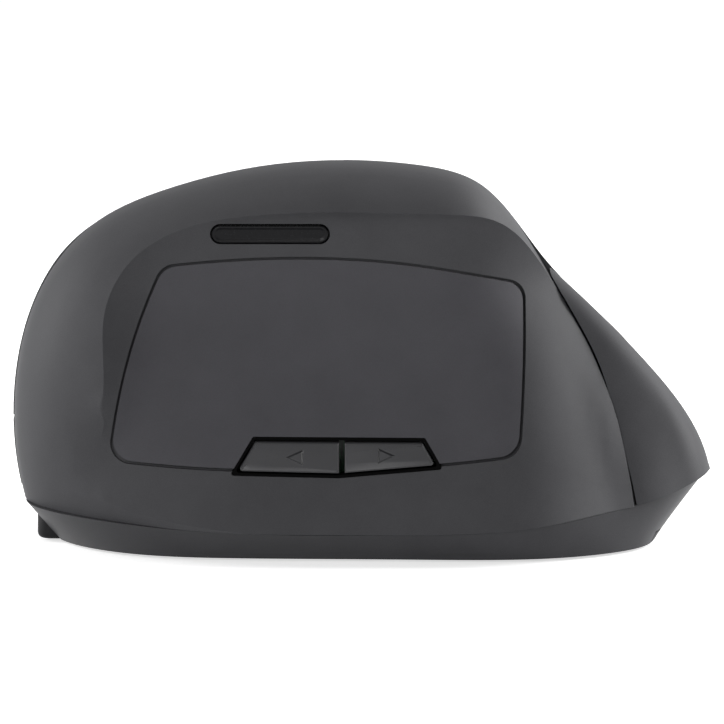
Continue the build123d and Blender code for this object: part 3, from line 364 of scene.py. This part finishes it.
def gloss(name, colour, rough):
    """Polished plastic with the slightest orange peel and dust-fine scuffs."""
    finish = Finish(name)
    shader = finish.shader
    peel = finish.noise(1.6 * MM)
    relief = finish.bump(peel, "Fac", 0.012 * MM, strength=0.4)
    finish.join(relief, "Normal", shader, "Normal")
    scuff = finish.noise(0.5 * MM, detail=4.0, rough=0.7)
    polish = finish.span(scuff, "Fac", rough, rough + 0.12)
    finish.join(polish, "Result", shader, "Roughness")
    tint = finish.ramp(scuff, "Fac", shade(colour, 0.9), shade(colour, 1.2))
    finish.join(tint, "Color", shader, "Base Color")
    shader.inputs["Specular IOR Level"].default_value = 0.12
    return finish.material


def metal(name, colour, rough):
    """Plated steel with fine drawn lines."""
    finish = Finish(name)
    shader = finish.shader
    mapping = finish.add("ShaderNodeMapping")
    mapping.inputs["Scale"].default_value = DRAWN_STRETCH
    finish.join(finish.place, "Object", mapping, "Vector")
    lines = finish.add("ShaderNodeTexNoise", Detail=3.0)
    lines.inputs["Scale"].default_value = 2500.0
    finish.join(mapping, "Vector", lines, "Vector")
    polish = finish.span(lines, "Fac", rough - 0.06, rough + 0.10)
    finish.join(polish, "Result", shader, "Roughness")
    tint = finish.ramp(lines, "Fac", shade(colour, 0.88), shade(colour, 1.05))
    finish.join(tint, "Color", shader, "Base Color")
    relief = finish.bump(lines, "Fac", 0.004 * MM, strength=0.4)
    finish.join(relief, "Normal", shader, "Normal")
    shader.inputs["Metallic"].default_value = 1.0
    return finish.material


def solder_mask(name, colour):
    """Board with tracks under its lacquer."""
    finish = Finish(name)
    shader = finish.shader
    tracks = finish.add("ShaderNodeTexBrick")
    tracks.inputs["Scale"].default_value = 260.0
    tracks.inputs["Mortar Size"].default_value = 0.035
    tracks.inputs["Color1"].default_value = shade(colour, 1.0)
    tracks.inputs["Color2"].default_value = shade(colour, 0.8)
    tracks.inputs["Mortar"].default_value = shade(colour, 1.9)
    bend = finish.add("ShaderNodeMapping")
    bend.inputs["Rotation"].default_value = (0.3, 0.2, math.radians(45))
    finish.join(finish.place, "Object", bend, "Vector")
    finish.join(bend, "Vector", tracks, "Vector")
    finish.join(tracks, "Color", shader, "Base Color")
    relief = finish.bump(tracks, "Fac", 0.02 * MM, strength=0.5)
    finish.join(relief, "Normal", shader, "Normal")
    dust = finish.noise(2 * MM, detail=3.0)
    polish = finish.span(dust, "Fac", 0.22, 0.40)
    finish.join(polish, "Result", shader, "Roughness")
    return finish.material


def cell_sleeve(name, low, high):
    """Dry cell: a dark sleeve with a brown band at one end, between the bare ends of the can."""
    finish = Finish(name)
    shader = finish.shader
    apart = finish.add("ShaderNodeSeparateXYZ")
    finish.join(finish.place, "Object", apart, "Vector")
    along = finish.add("ShaderNodeMapRange")
    along.inputs["From Min"].default_value = low
    along.inputs["From Max"].default_value = high
    finish.join(apart, "X", along, "Value")
    band = finish.add("ShaderNodeValToRGB")
    band.color_ramp.interpolation = "CONSTANT"
    band_start, band_end, sleeve_end = 0.035, 0.26, 0.985
    stops = band.color_ramp.elements
    stops[0].color = colours().can
    stops[1].position = band_start
    stops[1].color = colours().cell_band
    stops.new(band_end).color = colours().cell_print
    stops.new(sleeve_end).color = colours().can
    finish.join(along, "Result", band, "Fac")
    finish.join(band, "Color", shader, "Base Color")
    scuff = finish.noise(0.7 * MM, detail=3.0, rough=0.6)
    polish = finish.span(scuff, "Fac", 0.22, 0.38)
    finish.join(polish, "Result", shader, "Roughness")
    shader.inputs["Metallic"].default_value = 0.6
    return finish.material


def clear_plastic(name):
    """Clear moulded lens with a faint haze."""
    finish = Finish(name)
    shader = finish.shader
    haze = finish.noise(1.2 * MM)
    polish = finish.span(haze, "Fac", 0.03, 0.12)
    finish.join(polish, "Result", shader, "Roughness")
    tint = finish.ramp(haze, "Fac", (0.86, 0.89, 0.90, 1.0), (0.93, 0.95, 0.96, 1.0))
    finish.join(tint, "Color", shader, "Base Color")
    shader.inputs["Transmission Weight"].default_value = 0.9
    shader.inputs["IOR"].default_value = 1.49
    return finish.material


# Pieces


def link(name, form, node, material):
    """Makes a piece from a bmesh, in the place of a CAD node and without that node's stored normals."""
    mesh = bpy.data.meshes.new(name)
    form.to_mesh(mesh)
    form.free()
    old_normals = mesh.attributes.get("custom_normal")
    if old_normals is not None:
        mesh.attributes.remove(old_normals)
    mesh.materials.append(material)
    piece = bpy.data.objects.new(name, mesh)
    bpy.context.scene.collection.objects.link(piece)
    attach(piece, NODES[node]["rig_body"])
    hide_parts(node)


def welded(node):
    """A bmesh of a CAD node with its loose triangles joined."""
    form = bmesh.new()
    form.from_mesh(NODES[node].data)
    bmesh.ops.remove_doubles(form, verts=form.verts, dist=WELD_DISTANCE)
    return form


def crease(form, angle):
    """Smooth shading, broken at edges sharper than an angle."""
    for face in form.faces:
        face.smooth = True
    for edge in form.edges:
        if len(edge.link_faces) == 2:
            edge.smooth = edge.calc_face_angle(0.0) < angle


def flattened(form):
    """Joins the triangles of each plane face into one face."""
    bmesh.ops.dissolve_limit(form, angle_limit=FLAT_ANGLE, verts=form.verts, edges=form.edges)


def curved_piece(name, node, material, reshape=None):
    """Welded copy of a curved CAD node, shaded smooth."""
    form = welded(node)
    if reshape is not None:
        form.normal_update()
        reshape(form)
        form.normal_update()
    crease(form, SMOOTH_ANGLE)
    link(name, form, node, material)


def edged_piece(name, node, material, radius):
    """Welded copy of a CAD node with small round edges."""
    form = welded(node)
    flattened(form)
    sharp = [edge for edge in form.edges
             if len(edge.link_faces) == 2 and edge.calc_face_angle(0.0) > SHARP_ANGLE]
    if radius > 0:
        bmesh.ops.bevel(form, geom=sharp, offset=radius, offset_type="OFFSET", segments=2, profile=0.5,
                        affect="EDGES", clamp_overlap=True, material=-1)
    crease(form, SHARP_ANGLE)
    link(name, form, node, material)


def slope_share(value, start, end):
    """0 at the start, 1 at the end, eased between them; the start may be the greater one."""
    share = min(max((value - start) / (end - start), 0.0), 1.0)
    return share * share * (3 - 2 * share)


def tuck(form, amount, fan, across):
    """Draws the outside near the ridge in, over a range of fan angles and of places across."""
    facing_out = 0.3
    for vertex in form.verts:
        out = Vector((vertex.co.x, 0.0, vertex.co.z + FAN_DEPTH)).normalized()
        if vertex.normal.dot(out) > facing_out and vertex.co.z > TUCK_LOWEST:
            angle = math.degrees(math.atan2(vertex.co.z + FAN_DEPTH, -vertex.co.x))
            vertex.co -= out * amount * slope_share(angle, *fan) * slope_share(vertex.co.y, *across)


def front_of(form, x, z):
    """Faces of the front that a look from the thumb side meets at a point, up to its rim."""
    tree = BVHTree.FromBMesh(form)
    form.faces.ensure_lookup_table()
    seen_face = tree.ray_cast(Vector((x, LOOK_FROM, z)), LOOK_ALONG)[2]
    found = {form.faces[seen_face]}
    open_faces = list(found)
    while open_faces:
        face = open_faces.pop()
        for edge in face.edges:
            if len(edge.link_faces) == 2 and edge.calc_face_angle(0.0) < FRONT_ANGLE:
                for other in edge.link_faces:
                    if other not in found:
                        found.add(other)
                        open_faces.append(other)
    return list(found)


def rimmed_piece(name, node, material, at, reshape):
    """Copy of a CAD node whose front has a rolled rim."""
    form = welded(node)
    reshape(form)
    flattened(form)
    front = front_of(form, *at)
    for share in KEY_RIM_SHARES:
        ring = bmesh.ops.inset_region(form, faces=front, thickness=KEY_RIM / 2, use_boundary=True,
                                      use_even_offset=True)
        kept = {vertex for face in front for vertex in face.verts}
        outer = {vertex for face in ring["faces"] for vertex in face.verts} - kept
        for vertex in outer:
            vertex.co.y += KEY_RIM_DROP * share
    crease(form, RIM_ANGLE)
    link(name, form, node, material)


class DressCasings(bpy.types.Operator):
    """Thumb casing, palm casing and tail cover in grained graphite plastic"""

    bl_idname = "mouse.dress_casings"
    bl_label = "Casings"

    def execute(self, context):
        plastic = moulded("casing_plastic", colours().casing, rough=0.56, depth=0.010 * MM)
        curved_piece("thumb_casing", "thumb_shell", plastic, self.ease_thumb)
        curved_piece("palm_casing", "palm_shell", plastic,
                     lambda form: tuck(form, PALM_TUCK, PALM_TUCK_FAN, PALM_TUCK_ACROSS))
        curved_piece("tail_casing", "tail_cover", plastic, self.fill_out)
        return {"FINISHED"}

    def seam_place(self, vertex):
        """How far a point lies behind the tail seam, and how low and far out it is, from 0 to 1."""
        behind = vertex.co.x - (SEAM_FOOT - SEAM_LEAN * vertex.co.z)
        return behind, slope_share(vertex.co.z, *SEAM_LOW) * slope_share(vertex.co.y, *SEAM_OUTWARD)

    def fill_out(self, form):
        """Brings the low front of the tail nearer to the thumb casing's rear edge."""
        for vertex in form.verts:
            behind, outward = self.seam_place(vertex)
            vertex.co.y -= sizes().tail_fill * outward * slope_share(behind, *TAIL_FRONT)
            vertex.co.x -= TAIL_LEAD * outward * slope_share(behind, *TAIL_LEAD_FRONT)

    def ease_thumb(self, form):
        """Fades the low front crease of the scoop, and draws the outer rear edge back to the tail."""
        self.fade_crease(form)
        for vertex in form.verts:
            behind, outward = self.seam_place(vertex)
            if behind < THUMB_EDGE_END:
                edge = slope_share(behind, *THUMB_EDGE) * slope_share(vertex.co.y, *THUMB_EDGE_OUTWARD)
                vertex.co.x += sizes().thumb_reach * outward * edge

    def fade_share(self, place):
        """How strongly the low front of the scoop is eased at one place."""
        along = slope_share(place.x, *FADE_FRONT) * slope_share(place.x, *FADE_REAR)
        upward = slope_share(place.z, *FADE_FOOT) * slope_share(place.z, *FADE_TOP)
        off_panel = max(slope_share(place.x, *FADE_BEFORE_PANEL), slope_share(place.z, *FADE_UNDER_PANEL))
        return along * upward * off_panel

    def fade_crease(self, form):
        """Cuts the low front of the scoop finer, then draws each point there towards its neighbours."""
        for _ in range(FADE_CUTS):
            long = [edge for edge in form.edges if edge.calc_length() > FADE_LONGEST
                    and all(vertex.normal.y < THUMB_SIDE and self.fade_share(vertex.co) > 0
                            for vertex in edge.verts)]
            bmesh.ops.subdivide_edges(form, edges=long, cuts=1, use_grid_fill=False)
            bmesh.ops.triangulate(form, faces=[face for face in form.faces if len(face.verts) > 3])
            form.normal_update()
        eased = {}
        for vertex in form.verts:
            share = self.fade_share(vertex.co)
            if share > 0 and vertex.normal.y < THUMB_SIDE:
                around = [edge.other_vert(vertex) for edge in vertex.link_edges]
                near = [other for other in around if other.normal.y < NEAR_THUMB_SIDE]
                if near:
                    eased[vertex] = (share, near)
        for _ in range(sizes().crease_fade):
            places = {}
            for vertex, (share, near) in eased.items():
                middle = sum((other.co for other in near), Vector()) / len(near)
                places[vertex] = vertex.co.lerp(middle, FADE_STEP * share)
            for vertex, place in places.items():
                vertex.co = place


class DressGrip(bpy.types.Operator):
    """Soft panel in the thumb scoop"""

    bl_idname = "mouse.dress_grip"
    bl_label = "Grip panel"

    def execute(self, context):
        rubber = moulded("grip_soft_touch", colours().grip, rough=0.56, depth=0.008 * MM, sheen=0.05,
                         grain=0.8)
        curved_piece("grip_panel", "thumb_grip_panel", rubber)
        return {"FINISHED"}


class DressThumbKeys(bpy.types.Operator):
    """The pair of thumb keys with sunk arrows, in their black frame"""

    bl_idname = "mouse.dress_thumb_keys"
    bl_label = "Thumb keys"

    def execute(self, context):
        half = sizes().arrow_height / 2
        marks = []
        for side, (back, middle) in ((-1, BACK_ARROW), (1, FORWARD_ARROW)):
            marks.append((back + side * sizes().arrow_length, back, middle, half))
        satin = moulded("thumb_key_satin", colours().keys, rough=0.36, depth=0.004 * MM, grain=0.7,
                        shine=0.3, marks=marks)
        black = moulded("key_frame_black", colours().frame, rough=0.6, depth=0.004 * MM, shine=0.02)
        rimmed_piece("back_key", "back_button", satin, ON_BACK_KEY,
                     lambda form: self.part_key(form, -1))
        rimmed_piece("forward_key", "forward_button", satin, ON_FORWARD_KEY,
                     lambda form: self.part_key(form, 1))
        curved_piece("key_frame", "side_button_bezel", black)
        return {"FINISHED"}

    def part_key(self, form, side):
        """Makes a key a little shorter, so that the side that faces the other key draws back."""
        far = side * max(side * vertex.co.x for vertex in form.verts)
        for vertex in form.verts:
            vertex.co.x += side * sizes().key_parting * (far - vertex.co.x) / (far - KEYS_MEET)


class DressLongKey(bpy.types.Operator):
    """Long black key above the panel"""

    bl_idname = "mouse.dress_long_key"
    bl_label = "Long key"

    def execute(self, context):
        black = gloss("long_key_gloss", colours().gloss, rough=0.2)
        form = welded("dpi_button")
        tree = BVHTree.FromBMesh(form)
        middle = Vector((LONG_KEY_MIDDLE[0], LOOK_FROM, LONG_KEY_MIDDLE[1]))
        front = tree.ray_cast(middle, LOOK_ALONG)[0].y
        for vertex in form.verts:
            vertex.co.y = max(vertex.co.y, front + LONG_KEY_SET_BACK)
        rim = sizes().long_key_round
        # Inset and depth of each ring: up the side, over the rolled rim and down to the sunk face.
        profile = ((-0.01 * MM, 0.9 * MM), (-0.01 * MM, 0.55 * rim), (0.25 * rim, 0.15 * rim),
                   (0.65 * rim, 0.0), (1.3 * rim, 0.05 * rim), (1.7 * rim, 0.45 * rim),
                   (0.9 * MM, 0.45 * rim), (1.25 * MM, 0.45 * rim))
        rings = [self.ring(form, tree, middle, inset, depth) for inset, depth in profile]
        for outer, inner in zip(rings, rings[1:]):
            for index in range(len(outer)):
                after = (index + 1) % len(outer)
                form.faces.new((outer[index], inner[index], inner[after], outer[after]))
        form.faces.new(rings[-1])
        bmesh.ops.recalc_face_normals(form, faces=form.faces)
        crease(form, LONG_KEY_ANGLE)
        link("long_key", form, "dpi_button", black)
        return {"FINISHED"}

    def ring(self, form, tree, middle, inset, depth):
        """Round-ended outline laid at one depth under the key's own surface."""
        radius = LONG_KEY_RADIUS - inset
        inward = 0.004  # a look goes this share nearer to the middle, so that it can't miss the key
        vertices = []
        for end, start in ((1.0, -90.0), (-1.0, 90.0)):
            for step in range(LONG_KEY_STEPS + 1):
                turn = math.radians(start + 180.0 / LONG_KEY_STEPS * step)
                x = middle.x + end * LONG_KEY_HALF + radius * math.cos(turn)
                z = middle.z + radius * math.sin(turn)
                look = Vector((x, LOOK_FROM, z)).lerp(middle, inward)
                surface = tree.ray_cast(look, LOOK_ALONG)[0]
                vertices.append(form.verts.new((x, surface.y + depth, z)))
        return vertices


class DressMainKeys(bpy.types.Operator):
    """Main keys on the finger side"""

    bl_idname = "mouse.dress_main_keys"
    bl_label = "Main keys"

    def execute(self, context):
        plastic = moulded("main_key_plastic", colours().casing, rough=0.42, depth=0.008 * MM)
        curved_piece("left_key_plate", "left_button", plastic,
                     lambda form: tuck(form, sizes().ridge_tuck, KEY_TUCK_FAN, KEY_TUCK_ACROSS))
        curved_piece("right_key_plate", "right_button", plastic)
        return {"FINISHED"}


class DressWheel(bpy.types.Operator):
    """Scroll wheel, its ribbed tyre and its cradle"""

    bl_idname = "mouse.dress_wheel"
    bl_label = "Scroll wheel"

    def execute(self, context):
        rubber = moulded("tyre_rubber", colours().tyre, rough=0.62, depth=0.012 * MM)
        edged_piece("ribbed_tyre", "wheel_tyre", rubber, TYRE_EDGE)
        curved_piece("wheel_hub_part", "scroll_wheel", gloss("hub_gloss", colours().gloss, rough=0.25))
        nylon = moulded("natural_nylon", colours().cradle, rough=0.45, depth=0.006 * MM)
        edged_piece("cradle_part", "wheel_cradle", nylon, sizes().edge_round)
        return {"FINISHED"}


class DressBase(bpy.types.Operator):
    """Base band, bottom plate, glide feet, battery door and power knob"""

    bl_idname = "mouse.dress_base"
    bl_label = "Base"

    def execute(self, context):
        graphite = moulded("band_plastic", colours().band, rough=0.44, depth=0.008 * MM)
        curved_piece("base_band", "base_skirt", graphite)
        dark = moulded("underside_plastic", colours().underside, rough=0.5, depth=0.02 * MM, grain=2.0)
        edged_piece("underside_plate", "bottom_plate", dark, sizes().edge_round)
        edged_piece("door_panel", "battery_door", dark, sizes().edge_round)
        slick = moulded("glide_fluoropolymer", colours().glides, rough=0.3, depth=0.002 * MM)
        curved_piece("front_foot", "front_glide", slick)
        curved_piece("rear_feet", "rear_glide", slick)
        nylon = moulded("knob_nylon", colours().knob, rough=0.4, depth=0.003 * MM)
        edged_piece("knob_part", "power_switch_knob", nylon, KNOB_EDGE)
        return {"FINISHED"}


def finish_node(node, material):
    """Gives a CAD node, which stays as it is, its better material."""
    NODES[node].data.materials[0] = material


class DressInside(bpy.types.Operator):
    """Boards, switches, chips, battery bay and fasteners"""

    bl_idname = "mouse.dress_inside"
    bl_label = "Inside"

    def execute(self, context):
        mask = solder_mask("board_mask", colours().board)
        for node in ("main_board", "switch_board", "side_button_board", "dpi_board"):
            finish_node(node, mask)
        black = moulded("switch_body_plastic", colours().switches, rough=0.38, depth=0.004 * MM)
        for node in ("back_tact_switch", "forward_tact_switch", "dpi_tact_switch", "wheel_switch",
                     "wheel_encoder", "left_micro_switch", "right_micro_switch", "power_switch_body",
                     "sensor_chip", "controller_chip"):
            finish_node(node, black)
        grey = moulded("frame_plastic", colours().bracket, rough=0.5, depth=0.01 * MM)
        finish_node("switch_frame", grey)
        finish_node("battery_tray", grey)
        steel = metal("plated_steel", colours().steel, rough=0.3)
        for node in ("key_hinge_pin", "base_screws", "board_screws", "battery_contacts", "battery_springs"):
            finish_node(node, steel)
        low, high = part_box("battery_cell_a")
        sleeve = cell_sleeve("cell_print", low.x, high.x)
        finish_node("battery_cell_a", sleeve)
        finish_node("battery_cell_b", sleeve)
        finish_node("sensor_lens", clear_plastic("lens_clear"))
        return {"FINISHED"}


def softbox(name, away, power):
    """Square studio lamp in one direction from the middle of the stage, aimed at it."""
    data = bpy.data.lights.new(name, "AREA")
    data.shape = "SQUARE"
    data.size = LAMP_SIZE
    data.energy = power
    lamp = bpy.data.objects.new(name, data)
    bpy.context.scene.collection.objects.link(lamp)
    lamp.location = STAGE_MIDDLE + LAMP_DISTANCE * away
    lamp.rotation_mode = "QUATERNION"
    lamp.rotation_quaternion = (-away).to_track_quat("-Z", "Y")


def seen_rays(tree):
    """1 for rays from the camera, and for those that a gloss or a clear piece sends on, else 0."""
    path = tree.nodes.new("ShaderNodeLightPath")
    last = path.outputs["Is Camera Ray"]
    for ray in ("Is Glossy Ray", "Is Transmission Ray"):
        either = tree.nodes.new("ShaderNodeMath")
        either.operation = "MAXIMUM"
        tree.links.new(last, either.inputs[0])
        tree.links.new(path.outputs[ray], either.inputs[1])
        last = either.outputs[0]
    return last


class BuildStage(bpy.types.Operator):
    """Pale floor, soft lamps, white surroundings and the camera"""

    bl_idname = "mouse.build_stage"
    bl_label = "Stage"

    def execute(self, context):
        scene = context.scene
        scene.view_settings.view_transform = "Standard"
        form = bmesh.new()
        bmesh.ops.create_grid(form, x_segments=1, y_segments=1, size=FLOOR_SIZE)
        mesh = bpy.data.meshes.new("floor")
        form.to_mesh(mesh)
        form.free()
        floor = bpy.data.objects.new("floor", mesh)
        scene.collection.objects.link(floor)
        mesh.materials.append(self.floor_material())
        self.surroundings(scene)
        self.lamps()
        self.camera(scene)
        return {"FINISHED"}

    def floor_material(self):
        """Pale paper that shows as white, and still takes the mouse's shadow."""
        finish = Finish("floor_paper")
        tree = finish.tree
        finish.shader.inputs["Base Color"].default_value = colours().floor
        finish.shader.inputs["Roughness"].default_value = 0.9
        glow = finish.add("ShaderNodeEmission")
        glow.inputs["Color"].default_value = WHITE
        seen = seen_rays(tree)
        lift = finish.add("ShaderNodeMath", operation="MULTIPLY")
        lift.inputs[1].default_value = FLOOR_LIFT
        tree.links.new(seen, lift.inputs[0])
        tree.links.new(lift.outputs[0], glow.inputs["Strength"])
        both = finish.add("ShaderNodeAddShader")
        tree.links.new(finish.shader.outputs["BSDF"], both.inputs[0])
        tree.links.new(glow.outputs["Emission"], both.inputs[1])
        output = next(node for node in tree.nodes if node.type == "OUTPUT_MATERIAL")
        tree.links.new(both.outputs["Shader"], output.inputs["Surface"])
        return finish.material

    def surroundings(self, scene):
        """White to the eye and in reflections, a weak even light on the mouse."""
        world = bpy.data.worlds.new("studio")
        scene.world = world
        world.use_nodes = True
        tree = world.node_tree
        tree.nodes.clear()
        output = tree.nodes.new("ShaderNodeOutputWorld")
        soft = tree.nodes.new("ShaderNodeBackground")
        soft.inputs["Color"].default_value = WHITE
        soft.inputs["Strength"].default_value = WORLD_LIGHT
        white = tree.nodes.new("ShaderNodeBackground")
        white.inputs["Color"].default_value = WHITE
        mix = tree.nodes.new("ShaderNodeMixShader")
        seen = seen_rays(tree)
        tree.links.new(seen, mix.inputs["Fac"])
        tree.links.new(soft.outputs["Background"], mix.inputs[1])
        tree.links.new(white.outputs["Background"], mix.inputs[2])
        tree.links.new(mix.outputs["Shader"], output.inputs["Surface"])

    def lamps(self):
        for name, turn, rise, power in LAMPS:
            turn = math.radians(turn)
            rise = math.radians(rise)
            level = math.cos(rise)
            away = Vector((level * math.sin(turn), -level * math.cos(turn), math.sin(rise)))
            softbox(name, away, power)

    def camera(self, scene):
        data = bpy.data.cameras.new("camera")
        data.sensor_width = 36.0
        data.lens = data.sensor_width * CAMERA_DISTANCE / SEEN_WIDTH
        data.clip_start = 0.1
        data.clip_end = 30.0
        camera = bpy.data.objects.new("camera", data)
        scene.collection.objects.link(camera)
        away = Vector((0.0, -math.cos(CAMERA_TILT), math.sin(CAMERA_TILT)))
        camera.location = CAMERA_AIM + CAMERA_DISTANCE * away
        camera.rotation_euler = (math.pi / 2 - CAMERA_TILT, 0.0, 0.0)
        scene.camera = camera


class MousePanel(bpy.types.Panel):
    """Sizes, colours and making steps of the mouse"""

    bl_idname = "VIEW3D_PT_mouse"
    bl_label = "Vertical mouse"
    bl_space_type = "VIEW_3D"
    bl_region_type = "UI"
    bl_category = "Mouse"

    def draw(self, context):
        layout = self.layout
        for group in (context.scene.mouse_sizes, context.scene.mouse_colours):
            for name in group.__annotations__:
                layout.prop(group, name)
        for step in STEPS:
            layout.operator(step.bl_idname)


GROUPS = (MouseSizes, MouseColours)
STEPS = (DressCasings, DressGrip, DressThumbKeys, DressLongKey, DressMainKeys, DressWheel, DressBase,
         DressInside, BuildStage)


def register():
    for item in GROUPS + STEPS + (MousePanel,):
        bpy.utils.register_class(item)
    bpy.types.Scene.mouse_sizes = bpy.props.PointerProperty(type=MouseSizes)
    bpy.types.Scene.mouse_colours = bpy.props.PointerProperty(type=MouseColours)


def unregister():
    del bpy.types.Scene.mouse_colours
    del bpy.types.Scene.mouse_sizes
    for item in reversed(GROUPS + STEPS + (MousePanel,)):
        bpy.utils.unregister_class(item)


def main():
    register()
    bpy.ops.mouse.dress_casings()
    bpy.ops.mouse.dress_grip()
    bpy.ops.mouse.dress_thumb_keys()
    bpy.ops.mouse.dress_long_key()
    bpy.ops.mouse.dress_main_keys()
    bpy.ops.mouse.dress_wheel()
    bpy.ops.mouse.dress_base()
    bpy.ops.mouse.dress_inside()
    bpy.ops.mouse.build_stage()


if __name__ == "__main__":
    main()
